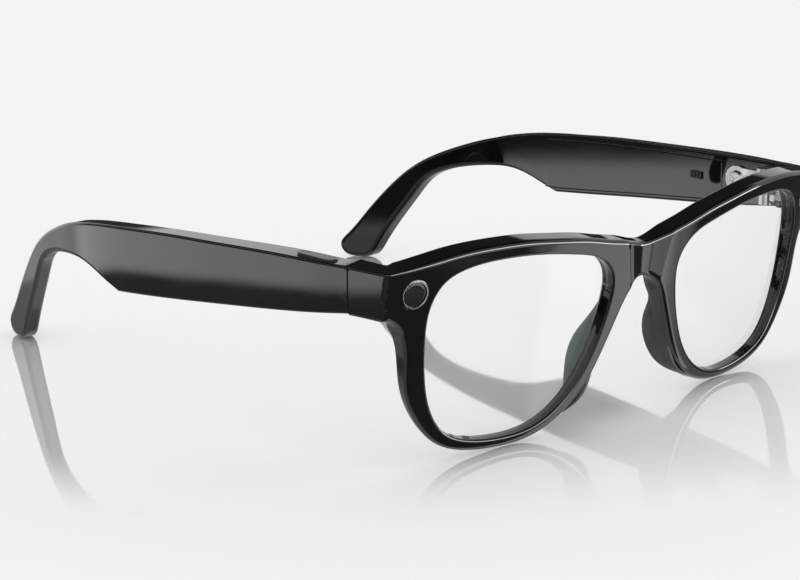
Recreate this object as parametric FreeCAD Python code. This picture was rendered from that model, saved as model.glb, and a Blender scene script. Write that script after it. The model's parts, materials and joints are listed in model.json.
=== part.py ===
"""Smart glasses: a front with two lenses, and two folding temples that hold the electronics.

Millimetres. X runs from the wearer's right (-X) to the wearer's left (+X), the front looks along -Y,
the temples run back along +Y, and +Z is up. The rims and the temple tips stand on z = 0.
The left side is built and mirrored for the right side.
"""
import math
import os

import FreeCAD
import Part

V = FreeCAD.Vector

# ------------------------------------------------------------------ front: outline and curvature
half_width = 73.5            # outer face of the endpiece from the middle plane
front_radius = 294.0         # bow of the front, seen from above
lean_angle = 8.4             # degrees that the top of the front leans forward
corner_radius = 2.4          # rounding from the front face to the endpiece's side
inner_radius = 1.0           # hollow corner where the endpiece leaves the back face
lens_centre_x = 35.9         # middle of a lens opening from the middle plane
opening_width = 49.8
opening_height = 40.5
rim_bottom_width = 2.6       # rim below the opening
brow_width = 3.5             # rim above the opening, at its widest
brow_thickness = 5.2         # front to back, at the top
rim_thickness = 3.6          # front to back, at the bottom
bridge_drop = 11.4           # arch under the bridge, below the top of the openings
bridge_half_width = 7.0      # half width of that arch at its foot
bridge_rise = 6.6            # height of that arch over its foot
scoop_half_width = 7.2       # hollow in the bridge's face, at the top
scoop_drop = 2.1             # level of that half width, below the top of the openings
scoop_taper = 0.23           # narrowing of that hollow per mm of height
scoop_depth = 1.5
endpiece_height = 10.2
endpiece_thickness = 6.1     # side to side, where the temple meets it
endpiece_reach = 13.0        # y of the plane where the temple begins
brow_edge_radius = 0.7
rim_start_inset = 3.6        # where the rim leaves the endpiece's underside, from its outer face
rim_turn_inset = 6.7         # next point of the rim, from the same face
rim_turn_drop = 2.8          # and below the endpiece
level_start = 0.73           # share of the half width from which the top grows level
level_end = 0.92             # share from which it is level

# ------------------------------------------------------------------ lenses
lens_thickness = 1.5
lens_setback = 1.6           # front face of the lens behind the rim's face
lens_bite = 0.55             # how far the lens edge reaches into the rim
lens_clearance = 0.06

# ------------------------------------------------------------------ nose pads
pad_height = 26.0            # from its foot to the top of its neck
pad_foot = 4.5               # height of its lower end
pad_reach = 7.1              # y of its rear edge

# ------------------------------------------------------------------ camera and indicator, one each side
eye_inset = 9.0              # from the endpiece's outer face
eye_drop = 4.645             # below the endpiece's top
bezel_radius = 3.35
bezel_face_radius = 2.6
bezel_wall = 0.3
bezel_seat = 1.0             # depth of the bezel's seat in the front
bezel_proud = 0.28
window_thickness = 0.7
window_setback = 0.15        # window face behind the bezel's rim
module_radius = 2.6
module_length = 2.2
module_eye_depth = 0.6       # hollow in front of the camera's own lens
module_eye_share = 0.4       # its radius as a share of the module's
light_guide_share = 0.7      # guide's radius as a share of the module's
window_ledge = 0.5           # ledge that the window rests on
board_thickness = 0.8
fit_gap = 0.1                # assembly clearance between seated pieces

# ------------------------------------------------------------------ cable channel in the brow
channel_depth = 2.2
channel_height = 1.6
channel_drop = 1.0           # its upper wall below the top edge
channel_end_inset = 3.4      # its end inboard of the camera's axis
channel_cover_thickness = 0.8
flex_thickness = 0.3
microphone_length = 3.4
microphone_thickness = 0.9
microphone_height = 2.6

# ------------------------------------------------------------------ charging contacts
contact_width = 1.8
contact_height = 3.0
contact_thickness = 0.4
contact_proud = 0.1
contact_spacing = 5.0
contact_rise = 3.3           # middle of the contacts over the arch under the bridge

# ------------------------------------------------------------------ hinges
hinge_inset = 7.5            # pin axis from the endpiece's outer face
hinge_setback = 1.8          # pin axis behind the endpiece's end
hinge_drop = 0.745           # top of the barrel below the endpiece's top
hinge_height = 8.6
pin_radius = 0.7
pin_clearance = 0.04
pin_head_radius = 1.15
pin_head_height = 0.5
pin_slot_width = 0.3
knuckle_radius = 1.7
middle_knuckle_height = 3.0
knuckle_gap = 0.12
knuckle_relief = 0.35        # space around the knuckles in the plastic
leaf_thickness = 1.0
leaf_recess = 0.5
front_leaf_length = 4.2
front_leaf_height = 6.4
front_leaf_gap = 0.3         # leaf's end ahead of the endpiece's end
arm_reach = 1.1              # arms' start ahead of the endpiece's end
arm_inset = 0.6              # arms' inner side inboard of the pin axis
plate_radius = 3.4
plate_height_share = 0.88    # height of the plate's straight part, of its round end's
plate_gap = 0.5              # plate's start behind the knuckles
plate_arm_lap = 1.2          # how far the arm runs along the plate
leaf_screw_offset = 8.9      # screw axis behind the pin axis
leaf_screw_radius = 0.9
leaf_screw_head_radius = 2.3
leaf_screw_head_height = 0.7
leaf_screw_length = 2.6
leaf_screw_taper = 0.8       # radius of the head's face, as a share of its foot's
cross_width = 0.5            # of the driver's cross in the head
cross_depth = 0.42
small_screw_radius = 0.6
small_screw_head_radius = 1.1
small_screw_head_height = 0.4
small_screw_grip = 1.6       # length in the plastic
small_screw_spacing = 3.4
small_screw_place = 0.45     # share of the leaf's length

# ------------------------------------------------------------------ temples
split_gap = 0.2              # between endpiece and temple
temple_length = 139.3
temple_edge_radius = 0.9
shell_wall = 1.1
cover_thickness = 1.0
cover_margin = 0.9           # width of shell left around the inner cover
cover_gap = 0.06
cover_start = 15.5           # behind the split
cover_overlap = 1.0          # shell behind the cover ahead of the cavity
cover_tail = 4.0             # and behind it
wire_rise = 0.4              # cable passage above the hinge's foot
wire_height = 1.8
wire_width = 0.9
wire_depth = 2.4             # outward of the inner face
wire_gap = 0.2               # around the cable
wire_lap = 3.0               # cable's run in the cavity
outlet_offset = 0.5          # sound outlet behind the speaker's front end
outlet_length = 9.0
outlet_width = 1.8
outlet_depth_share = 0.41    # its middle outward of the inner face, of the endpiece's thickness
outlet_lip = 0.6             # plastic left under the outlet's mesh
outlet_reach = 3.0           # height of the outlet's shaft, up into the cavity
mesh_thickness = 0.3
mesh_seat = 0.4              # seat of the mesh around the outlet
port_radius = 0.5
port_place = 21.0            # microphone port behind the split
port_height = 3.2            # and above the underside, in the outer wall
port_wall_share = 0.93       # thickness of the temple there, of the endpiece's

# ------------------------------------------------------------------ capture button and power switch
button_start = 5.0           # front end behind the split
button_length = 11.0
button_width = 3.2
button_proud = 0.4
button_travel = 0.35
button_thickness = 1.4
button_gap = 0.12
button_inset = 2.7           # button's middle from the outer face
plunger_radius = 0.6
plunger_length = 0.8
tact_width = 2.4             # the switch under the button
tact_length = 3.2
tact_height = 1.3
tact_clearance = 0.02        # between the plunger and the switch
switch_start = 22.0
switch_knob_length = 3.6
switch_knob_height = 1.8
switch_proud = 0.6
switch_travel = 2.0
switch_gap = 0.12
knob_drop = 0.9              # knob below the middle of the hinge
flange_extra = 0.9
flange_thickness = 0.5
flange_gap = 0.15            # between the cover and the knob's flange
groove_width = 0.3
groove_depth = 0.65
slide_body_height = 4.4
slide_body_thickness = 1.4
slide_body_lap = 0.4

# ------------------------------------------------------------------ electronics in the temples
main_board_length = 36.0
main_board_gap = 0.3         # behind the inner cover
board_start_gap = 1.5        # behind the front wall of the cavity
shield_start = 11.0          # behind the main board's front end
shield_length = 20.0
shield_thickness = 1.3
shield_margin = 0.8          # of bare board above and under it
sensor_start = 6.0
sensor_length = 30.0
sensor_thickness = 0.3
sensor_gap = 0.15
sensor_wall_share = 0.86     # thickness of the temple there, of the endpiece's
power_board_length = 12.5
battery_length = 23.5
battery_thickness = 2.5
speaker_length = 11.0
speaker_thickness = 2.2
speaker_height = 8.0
piece_gap = 0.3              # between a piece and the wall beside it
row_gap = 0.5                # between pieces that follow each other along a temple

os.makedirs("parts", exist_ok=True)

# ------------------------------------------------------------------ values that follow
lean = math.tan(math.radians(lean_angle))
opening_centre_z = rim_bottom_width + opening_height / 2
opening_top = rim_bottom_width + opening_height
endpiece_top = opening_top + 0.27 * brow_width
endpiece_bottom = endpiece_top - endpiece_height
split_y = endpiece_reach + split_gap
inner_face = half_width - endpiece_thickness
bridge_bottom = opening_top - bridge_drop
contact_z = bridge_bottom + contact_rise
scoop_level = opening_top - scoop_drop
block_start = -endpiece_reach
block_end = 2 * endpiece_reach
eye_x = half_width - eye_inset
channel_end = eye_x - channel_end_inset
eye_z = endpiece_top - eye_drop
hinge_x = half_width - hinge_inset
hinge_y = endpiece_reach + hinge_setback
hinge_high = endpiece_top - hinge_drop
hinge_low = hinge_high - hinge_height
cavity_start = cover_start + cover_overlap
battery_start = cavity_start + board_start_gap + power_board_length + 2 * row_gap
speaker_start = battery_start + battery_length + row_gap
cavity_end = speaker_start + speaker_length + board_start_gap
cover_end = cavity_end + cover_tail
far = 2 * temple_length      # well outside the glasses, for cutting shapes
tolerance = 0.01             # for telling where an edge lies

# lens opening, in half widths and half heights from its middle, starting on the temple side and running up
opening_shape = [
    (0.996, 0.279), (0.980, 0.600), (0.863, 0.852), (0.647, 0.965), (0.325, 1.0), (-0.116, 0.970),
    (-0.558, 0.881), (-0.855, 0.753), (-0.992, 0.536), (-0.992, 0.259), (-0.884, -0.190), (-0.727, -0.546),
    (-0.486, -0.832), (-0.197, -0.978), (0.124, -1.0), (0.446, -0.946), (0.707, -0.802), (0.871, -0.526),
    (0.960, -0.151),
]
# rim width outside the points 18 to 10 of that shape, as a multiple of the rim's bottom width
rim_shape = [1.87, 1.52, 1.23, 1.09, 1.0, 1.0, 1.10, 1.30, 1.41]
# narrowing of the rim at those points, per mm of depth behind its front face
rim_draft = [0.30, 0.30, 0.28, 0.22, 0.15, 0.08, 0.0, 0.0, 0.0]
# arch under the bridge: share of its half width, and of its rise down from its top
arch_shape = [(1.0, 1.0), (0.76, 0.52), (0.42, 0.14)]
# top edge of the front: share of the half width, and height above the opening in brow widths
brow_shape = [
    (0.0, -0.93), (0.085, -0.56), (0.17, -0.20), (0.27, 0.26), (0.38, 0.60), (0.49, 0.886), (0.61, 1.0),
    (0.73, 0.93), (0.84, 0.63), (0.95, 0.31), (1.05, 0.2),
]


# ------------------------------------------------------------------ general helpers
def line(a, b):
    return Part.LineSegment(a, b).toShape()


def pieces_of(curve, points, every):
    """Edges along a curve, divided at every so many of its points."""
    cuts = [curve.parameter(points[i]) for i in range(every, len(points) - every // 2, every)]
    ends = [curve.FirstParameter] + cuts + [curve.LastParameter]
    return [curve.toShape(a, b) for a, b in zip(ends, ends[1:])]


def spline(points, every=3):
    curve = Part.BSplineCurve()
    curve.interpolate(points)
    return pieces_of(curve, points, every)


def closed_spline(points, every=3):
    curve = Part.BSplineCurve()
    curve.interpolate(points, PeriodicFlag=True)
    return pieces_of(curve, points, every)


def spline_points(points, count):
    curve = Part.BSplineCurve()
    curve.interpolate(points)
    return curve.discretize(count)


def mirrored(shape):
    return shape.mirror(V(0, 0, 0), V(1, 0, 0))


def cylinder(radius, length, start, direction):
    return Part.makeCylinder(radius, length, start, direction)


def box(low, high):
    size = high - low
    return Part.makeBox(size.x, size.y, size.z, low)


def bow(x):
    return front_radius - math.sqrt(front_radius ** 2 - x ** 2)


def front_y(x, z):
    return bow(x) / math.cos(math.radians(lean_angle)) - lean * z


# ------------------------------------------------------------------ curves of the front
def opening_points(offset):
    """Points of a lens opening grown by offset, one number or one per point, as (x, z)."""
    points = []
    for a, b in opening_shape:
        points.append((lens_centre_x + a * opening_width / 2, opening_centre_z + b * opening_height / 2))
    grown = []
    for i, (x, z) in enumerate(points):
        before = points[i - 1]
        after = points[(i + 1) % len(points)]
        along_x = after[0] - before[0]
        along_z = after[1] - before[1]
        length = math.hypot(along_x, along_z)
        step = offset[i] if isinstance(offset, list) else offset
        grown.append((x + step * along_z / length, z - step * along_x / length))
    return grown


def lens_axis():
    """Direction from front to back through a lens, square to the front's face there."""
    return V(-lens_centre_x / front_radius, 1.0, lean)


def opening_prism(offset):
    axis = lens_axis()
    start = -half_width
    points = []
    for x, z in opening_points(offset):
        run = start - front_y(x, z)
        points.append(V(x + axis.x * run, start, z + axis.z * run))
    face = Part.Face(Part.Wire(closed_spline(points)))
    return face.extrude(axis * (2 * half_width))


def lean_share(x):
    """1 over the rims, falling to 0 on the endpieces, whose top is level."""
    t = (abs(x) / half_width - level_start) / (level_end - level_start)
    t = min(max(t, 0.0), 1.0)
    return 1.0 - t * t * (3.0 - 2.0 * t)


def at_depth(x, z, y):
    return V(x, y, z + lean * lean_share(x) * (y - front_y(x, z)))


def top_edge_points():
    half = [(half_width * share, opening_top + brow_width * rise) for share, rise in brow_shape]
    return [(-x, z) for x, z in reversed(half[1:])] + half


def outline_wire(y):
    """The front's outline in the plane at y."""
    reach = half_width * brow_shape[-1][0]
    top = spline([at_depth(x, z, y) for x, z in top_edge_points()])
    widths = [0.0] * len(opening_shape)
    first = len(opening_shape) - 1
    for step, share in enumerate(rim_shape):
        widths[first - step] = share * rim_bottom_width
    ring = opening_points(widths)
    for step, draft in enumerate(rim_draft):
        x, z = ring[first - step]
        widths[first - step] -= draft * (y - front_y(x, z))
    ring = opening_points(widths)
    lower = [(half_width - rim_start_inset, endpiece_bottom)]
    lower += [(half_width - rim_turn_inset, endpiece_bottom - rim_turn_drop)]
    lower += [ring[first - step] for step in range(len(rim_shape))]
    lower += [(arch * bridge_half_width, bridge_bottom - drop * bridge_rise) for arch, drop in arch_shape]
    lower += [(0.0, bridge_bottom)] + [(-x, z) for x, z in reversed(lower)]
    curve = spline([at_depth(x, z, y) for x, z in lower])
    upper_corner = at_depth(reach, opening_top + brow_width * brow_shape[-1][1], y)
    lower_corner = at_depth(reach, endpiece_bottom, y)
    lower_start = at_depth(lower[0][0], lower[0][1], y)
    right = [line(upper_corner, lower_corner), line(lower_corner, lower_start)]
    left = [mirrored(edge) for edge in right]
    return Part.Wire(Part.__sortEdges__(top + right + curve + left))


def bow_cylinder(shift, angle):
    """The space behind a bowed face that leans by angle and meets the middle plane at y = shift on z = 0."""
    direction = V(0, -math.sin(math.radians(angle)), math.cos(math.radians(angle)))
    across = V(0, math.cos(math.radians(angle)), math.sin(math.radians(angle)))
    base = V(0, shift, 0) + across * front_radius - direction * far
    return cylinder(front_radius, 2 * far, base, direction)


def upright_edges(solid, x):
    found = []
    for edge in solid.Edges:
        heights = [vertex.Point.z for vertex in edge.Vertexes]
        if abs(abs(edge.CenterOfMass.x) - x) < tolerance and max(heights) - min(heights) > half_width:
            found.append(edge)
    return found


def behind_front():
    """All the space behind the front's face and between the endpieces' sides."""
    solid = bow_cylinder(0.0, lean_angle)
    solid = solid.common(box(V(-half_width, -far, -far), V(half_width, far, far)))
    corners = [edge for edge in upright_edges(solid, half_width) if edge.CenterOfMass.y < half_width]
    return solid.makeFillet(corner_radius, corners)


back_angle = math.degrees(math.atan(lean - (brow_thickness - rim_thickness) / opening_top))


def behind_back():
    """All the space behind the back face and between the endpieces' inner faces."""
    solid = bow_cylinder(rim_thickness, back_angle)
    solid = solid.common(box(V(-inner_face, -far, -far), V(inner_face, far, far)))
    inner = [edge for edge in upright_edges(solid, inner_face) if edge.CenterOfMass.y < half_width]
    return solid.makeFillet(inner_radius, inner)


def bow_slab(start, end):
    """The space between the front's face moved back by start and by end."""
    slab = bow_cylinder(start, lean_angle).cut(bow_cylinder(end, lean_angle))
    return slab.common(box(V(-half_width, -far, -far), V(half_width, endpiece_reach + far, far)))


def bridge_scoop():
    """The hollow between the two creases on the bridge's face."""
    def section(z):
        half = scoop_half_width - scoop_taper * (scoop_level - z)
        depth = scoop_depth * half / scoop_half_width
        left = V(-half, front_y(half, z), z)
        right = V(half, front_y(half, z), z)
        middle = V(0, front_y(0, z) + depth, z)
        ahead = [right, V(half, -half_width, z), V(-half, -half_width, z), left]
        edges = [Part.Arc(left, middle, right).toShape()]
        edges += [line(a, b) for a, b in zip(ahead, ahead[1:])]
        return Part.Wire(edges)
    reach = 0.8 * scoop_half_width / scoop_taper
    return Part.makeLoft([section(scoop_level - reach), section(scoop_level + reach)], True, True)


parts = {}


def add(name, shape):
    parts[name] = shape


def add_pair(name, shape):
    """The left one as built, and its mirror image on the right."""
    add("left_" + name, shape)
    add("right_" + name, mirrored(shape))


# ------------------------------------------------------------------ front blank
def edges_on_front(solid, test):
    found = []
    for edge in solid.Edges:
        middle = edge.valueAt((edge.FirstParameter + edge.LastParameter) / 2)
        on_face = abs(middle.y - front_y(middle.x, middle.z)) < 2 * tolerance
        if on_face and edge.Length > 2 * brow_edge_radius and test(middle):
            found.append(edge)
    return found


def front_blank():
    block = Part.makeLoft([outline_wire(block_start), outline_wire(block_end)], True, True)
    blank = block.common(behind_front()).cut(behind_back())
    blank = blank.cut(box(V(-far, endpiece_reach, -far), V(far, far, far)))
    side = half_width - corner_radius
    low = opening_top - brow_width
    brow_edges = edges_on_front(blank, lambda middle: middle.z > low and abs(middle.x) < side)
    return blank.makeFillet(brow_edge_radius, brow_edges)


def back_slab(start, end):
    """The space between the back face moved forward by start and by end."""
    slab = bow_cylinder(rim_thickness - end, back_angle).cut(bow_cylinder(rim_thickness - start, back_angle))
    return slab.common(box(V(-half_width, -far, -far), V(half_width, endpiece_reach + far, far)))


def brow_height(x):
    """Height of the front's top edge at x, read off its curve."""
    points = spline_points([V(a, 0, b) for a, b in top_edge_points()], 200)
    for before, after in zip(points, points[1:]):
        if before.x <= x <= after.x:
            share = (x - before.x) / (after.x - before.x)
            return before.z + share * (after.z - before.z)
    return points[-1].z


def brow_band(upper, lower, half_span):
    """The space from upper to lower below the top edge, for |x| up to half_span."""
    steps = 16
    def section(y):
        xs = [half_span * (2.0 * i / steps - 1.0) for i in range(steps + 1)]
        high = [at_depth(x, brow_height(x) - upper, y) for x in xs]
        low = [at_depth(x, brow_height(x) - lower, y) for x in xs]
        ends = [[line(high[-1], low[-1])], [line(low[0], high[0])]]
        return Part.Wire(spline(high, 4) + ends[0] + spline(low[::-1], 4) + ends[1])
    return Part.makeLoft([section(block_start), section(block_end)], True, True)


# ------------------------------------------------------------------ camera and indicator stacks
def eye_place():
    """Centre on the front's face, and the direction into the front there."""
    centre = V(eye_x, front_y(eye_x, eye_z), eye_z)
    axis = V(-eye_x / front_radius, 1.0, lean)
    return centre, axis.normalize()


def along(centre, axis, start, end, radius):
    return cylinder(radius, end - start, centre + axis * start, axis)


module_start = bezel_seat + fit_gap / 2
board_start = module_start + module_length + fit_gap / 2
bore_depth = board_start + board_thickness + fit_gap
window_radius = bezel_face_radius - bezel_wall
window_front = window_setback - bezel_proud


def eye_bore():
    centre, axis = eye_place()
    seat = along(centre, axis, -bezel_radius, bezel_seat, bezel_radius + lens_clearance)
    return seat.fuse(along(centre, axis, 0.0, bore_depth, module_radius + fit_gap))


def bezel_ring():
    centre, axis = eye_place()
    ring = along(centre, axis, 0.0, bezel_seat, bezel_radius)
    tip = centre - axis * bezel_proud
    cone = Part.makeCone(bezel_face_radius, bezel_radius, bezel_proud, tip, axis)
    ring = ring.fuse(cone)
    window_end = window_front + window_thickness + fit_gap / 2
    ring = ring.cut(along(centre, axis, -bezel_radius, window_end, window_radius))
    light_hole = along(centre, axis, -bezel_radius, bezel_radius, window_radius - window_ledge)
    return ring.cut(light_hole)


def window_disc():
    centre, axis = eye_place()
    return along(centre, axis, window_front, window_front + window_thickness, window_radius - fit_gap / 2)


def camera_module():
    centre, axis = eye_place()
    barrel = along(centre, axis, module_start, module_start + module_length, module_radius)
    eye_end = module_start + module_eye_depth
    return barrel.cut(along(centre, axis, 0.0, eye_end, module_radius * module_eye_share))


def eye_board():
    centre, axis = eye_place()
    return along(centre, axis, board_start, board_start + board_thickness, module_radius)


def light_guide():
    """Clear stub that carries the indicator's light to its window."""
    centre, axis = eye_place()
    return along(centre, axis, module_start, module_start + module_length, module_radius * light_guide_share)


# ------------------------------------------------------------------ lenses and nose pads
def lens():
    return opening_prism(lens_bite).common(bow_slab(lens_setback, lens_setback + lens_thickness))


def lens_groove():
    gap = lens_clearance
    slab = bow_slab(lens_setback - gap, lens_setback + lens_thickness + gap)
    return opening_prism(lens_bite + gap).common(slab)


# level up the pad's height, middle x and y, half length and half width of its oval
pad_shape = [
    (0.00, 20.6, 2.0, 1.3, 0.8), (0.115, 16.0, 2.5, 2.9, 1.4), (0.345, 13.2, 3.2, 3.9, 1.7),
    (0.575, 11.8, 2.4, 3.6, 1.6), (0.77, 10.1, 0.9, 2.1, 1.4), (0.87, 8.2, 0.4, 1.8, 1.4),
    (1.00, 5.9, -0.3, 1.4, 1.3),
]
pad_turn = 6.0               # degrees that the pad's ovals open outward to the back


def nose_pad(blank):
    rear = max(y + a * math.cos(math.radians(pad_turn)) for _, _, y, a, _ in pad_shape)
    sections = []
    for level, x, y, half_length, half_wide in pad_shape:
        oval = Part.Ellipse(V(0, 0, 0), half_length, half_wide).toShape()
        wire = Part.Wire(oval)
        wire.rotate(V(0, 0, 0), V(0, 0, 1), 90.0 - pad_turn)
        wire.translate(V(x, y + pad_reach - rear, pad_foot + level * pad_height))
        sections.append(wire)
    return Part.makeLoft(sections, True, False).cut(blank)


# ------------------------------------------------------------------ hinges
hinge_middle = (hinge_low + hinge_high) / 2
arm_inner = hinge_x - arm_inset
arm_outer = inner_face - knuckle_relief
leaf_inner = inner_face - leaf_thickness + leaf_recess
leaf_outer = inner_face + leaf_recess
plate_y = hinge_y + leaf_screw_offset
plate_front = hinge_y + knuckle_radius + plate_gap


def upright(radius, low, high):
    """A cylinder on the pin axis."""
    return cylinder(radius, high - low, V(hinge_x, hinge_y, low), V(0, 0, 1))


def pin_bore():
    return upright(pin_radius + pin_clearance, -far, far)


def hinge_pin():
    shank = upright(pin_radius, hinge_low, hinge_high)
    head = upright(pin_head_radius, hinge_high - pin_head_height, hinge_high)
    slot_half = pin_slot_width / 2
    slot = box(V(hinge_x - knuckle_radius, hinge_y - slot_half, hinge_high - pin_head_height / 2),
               V(hinge_x + knuckle_radius, hinge_y + slot_half, hinge_high + pin_head_height))
    return shank.fuse(head).cut(slot)


def small_screw_heights():
    return [hinge_middle - small_screw_spacing / 2, hinge_middle + small_screw_spacing / 2]


front_leaf_start = endpiece_reach - front_leaf_length
small_screw_y = front_leaf_start + front_leaf_length * small_screw_place


def front_leaf():
    half = front_leaf_height / 2
    plate = box(V(leaf_inner, front_leaf_start, hinge_middle - half),
                V(leaf_outer, endpiece_reach - front_leaf_gap, hinge_middle + half))
    lower_top = hinge_middle - middle_knuckle_height / 2 - knuckle_gap
    upper_low = hinge_middle + middle_knuckle_height / 2 + knuckle_gap
    leaf = plate
    for low, high in ((hinge_low, lower_top), (upper_low, hinge_high)):
        leaf = leaf.fuse(upright(knuckle_radius, low, high))
        arm_low = max(low, hinge_middle - half)
        arm_high = min(high, hinge_middle + half)
        arm = box(V(arm_inner, endpiece_reach - arm_reach, arm_low), V(arm_outer, hinge_y, arm_high))
        leaf = leaf.fuse(arm)
    head_seat = upright(pin_head_radius + fit_gap / 2, hinge_high - pin_head_height, far)
    leaf = leaf.cut(pin_bore()).cut(head_seat)
    for z in small_screw_heights():
        start = V(0, small_screw_y, z)
        leaf = leaf.cut(cylinder(small_screw_radius + fit_gap / 2, far, start, V(1, 0, 0)))
    return leaf.removeSplitter()


def front_leaf_seat():
    half = front_leaf_height / 2 + fit_gap / 2
    return box(V(leaf_inner, front_leaf_start - fit_gap / 2, hinge_middle - half),
               V(leaf_outer + fit_gap / 2, split_y + fit_gap, hinge_middle + half))


def small_screws(grow):
    screws = []
    for z in small_screw_heights():
        start = V(leaf_inner, small_screw_y, z)
        length = leaf_thickness + small_screw_grip + grow
        shank = cylinder(small_screw_radius + grow, length, start, V(1, 0, 0))
        head_start = start - V(small_screw_head_height, 0, 0)
        head = cylinder(small_screw_head_radius, small_screw_head_height, head_start, V(1, 0, 0))
        screws.append(shank.fuse(head))
    return Part.makeCompound(screws)


def temple_leaf():
    low = hinge_middle - middle_knuckle_height / 2
    leaf = upright(knuckle_radius, low, low + middle_knuckle_height)
    arm_end = V(arm_outer, plate_front + plate_arm_lap, low + middle_knuckle_height)
    leaf = leaf.fuse(box(V(arm_inner, hinge_y, low), arm_end))
    leaf = leaf.fuse(plate_shape(0.0, leaf_inner, leaf_outer))
    leaf = leaf.cut(pin_bore())
    hole = cylinder(leaf_screw_radius + fit_gap / 2, far, V(0, plate_y, hinge_middle), V(1, 0, 0))
    return leaf.cut(hole).removeSplitter()


def plate_shape(grow, low_x, high_x):
    """Round-ended plate of the temple leaf, grown by a gap."""
    disc = cylinder(plate_radius + grow, high_x - low_x, V(low_x, plate_y, hinge_middle), V(1, 0, 0))
    half = plate_radius * plate_height_share + grow
    arm = box(V(low_x, plate_front - grow, hinge_middle - half), V(high_x, plate_y, hinge_middle + half))
    return disc.fuse(arm)


def leaf_screw(grow):
    start = V(leaf_inner, plate_y, hinge_middle)
    shank = cylinder(leaf_screw_radius + grow, leaf_screw_length + grow, start, V(1, 0, 0))
    head_start = start - V(leaf_screw_head_height, 0, 0)
    head = Part.makeCone(leaf_screw_head_radius * leaf_screw_taper, leaf_screw_head_radius,
                         leaf_screw_head_height, head_start, V(1, 0, 0))
    half_long = leaf_screw_head_radius / 2
    half_wide = cross_width / 2
    for angle in (45, 135):
        slot = box(V(-cross_depth, -half_long, -half_wide), V(cross_depth, half_long, half_wide))
        slot.rotate(V(0, 0, 0), V(1, 0, 0), angle)
        slot.translate(head_start)
        head = head.cut(slot)
    return shank.fuse(head)


# ------------------------------------------------------------------ temples
# top and underside of a temple: share of its length behind the split, share of its height at the split
temple_top_line = [
    (0.0, 1.0), (0.12, 0.995), (0.28, 0.975), (0.39, 0.958), (0.50, 0.932), (0.61, 0.895), (0.69, 0.840),
    (0.75, 0.776), (0.80, 0.708), (0.846, 0.620), (0.896, 0.475), (0.945, 0.295), (0.985, 0.145),
]
temple_tip_line = [(1.0, 0.070), (0.992, 0.020), (0.965, 0.0), (0.935, 0.018), (0.919, 0.085)]
temple_hook_line = [
    (0.878, 0.285), (0.845, 0.430), (0.81, 0.560), (0.775, 0.618), (0.73, 0.657), (0.675, 0.682),
    (0.645, 0.686), (0.60, 0.664), (0.56, 0.622), (0.523, 0.585),
]
pod_rear = (0.60, 0.64)
pod_underside = [(0.523, 0.585), (0.447, 0.608), (0.264, 0.671), (0.12, 0.7226), (0.0, 0.775)]
# seen from above: share of the length, outer face from the endpiece's, thickness as a share of the endpiece's
temple_plan = [
    (-0.04, 0.0, 1.0), (0.12, 0.1, 0.96), (0.336, 1.5, 0.86), (0.444, 1.6, 0.82), (0.551, 1.2, 0.75),
    (0.645, -0.4, 0.69), (0.731, -3.6, 0.67), (0.80, -6.4, 0.69), (0.874, -9.6, 0.75), (1.03, -15.9, 0.86),
]


def temple_point(share, height):
    return V(0, split_y + share * temple_length, height * endpiece_top)


def temple_profile():
    over = spline([temple_point(a, b) for a, b in temple_top_line + temple_tip_line + temple_hook_line])
    under = spline([temple_point(a, b) for a, b in pod_underside])
    front_edge = line(temple_point(*pod_underside[-1]), temple_point(*temple_top_line[0]))
    face = Part.Face(Part.Wire(over + under + [front_edge]))
    return face.extrude(V(far, 0, 0))


def pod_profile(inset_top, inset_bottom):
    """The front part of the profile drawn in from its top and its underside."""
    top = [temple_point(a, b) - V(0, 0, inset_top) for a, b in temple_top_line[:7]]
    rear = [temple_point(*pod_rear), temple_point(*pod_underside[0])]
    under = rear[:1] + [temple_point(a, b) for a, b in pod_underside]
    under = [point + V(0, 0, inset_bottom) for point in under]
    edges = spline(top) + [line(top[-1], under[0]), line(under[0], under[1])]
    edges += spline(under[1:]) + [line(under[-1], top[0])]
    return Part.Face(Part.Wire(edges)).extrude(V(far, 0, 0))


def plan_points(from_outer, inset):
    """A line along the temple seen from above, inset from its outer or from its inner face."""
    points = []
    for share, offset, thickness in temple_plan:
        x = half_width + offset - (inset if from_outer else endpiece_thickness * thickness - inset)
        points.append(V(x, split_y + share * temple_length, -endpiece_top))
    return points


def plan_band(inner_points, outer_points, start, end):
    """The space between two such lines, from start to end behind the split."""
    edges = spline(inner_points) + [line(inner_points[-1], outer_points[-1])]
    edges += spline(outer_points[::-1]) + [line(outer_points[0], inner_points[0])]
    band = Part.Face(Part.Wire(edges)).extrude(V(0, 0, 3 * endpiece_top))
    return band.common(box(V(0, split_y + start, -far), V(far, split_y + end, far)))


def inner_x(behind_split):
    """x of the temple's inner face at a distance behind the split."""
    points = spline_points(plan_points(False, 0.0), 160)
    y = split_y + behind_split
    for before, after in zip(points, points[1:]):
        if before.y <= y <= after.y:
            return before.x + (after.x - before.x) * (y - before.y) / (after.y - before.y)
    return points[-1].x


def pod_box(start, length, low, high, depth, thickness):
    """A flat piece inside the temple, depth outward of its inner face and along it."""
    x0 = inner_x(start)
    x1 = inner_x(start + length)
    run = math.hypot(length, x1 - x0)
    piece = box(V(depth, 0, low), V(depth + thickness, run, high))
    piece.rotate(V(0, 0, 0), V(0, 0, 1), -math.degrees(math.asin((x1 - x0) / run)))
    piece.translate(V(x0, split_y + start, 0))
    return piece


def temple_blank():
    band = plan_band(plan_points(False, 0.0), plan_points(True, 0.0), 0.0, temple_length + endpiece_thickness / 2)
    blank = band.common(temple_profile())
    long_edges = []
    for edge in blank.Edges:
        across = abs(edge.tangentAt(edge.FirstParameter).x) > 0.9
        if not across and edge.CenterOfMass.y > split_y + tolerance:
            long_edges.append(edge)
    return blank.makeFillet(temple_edge_radius, long_edges)


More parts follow.
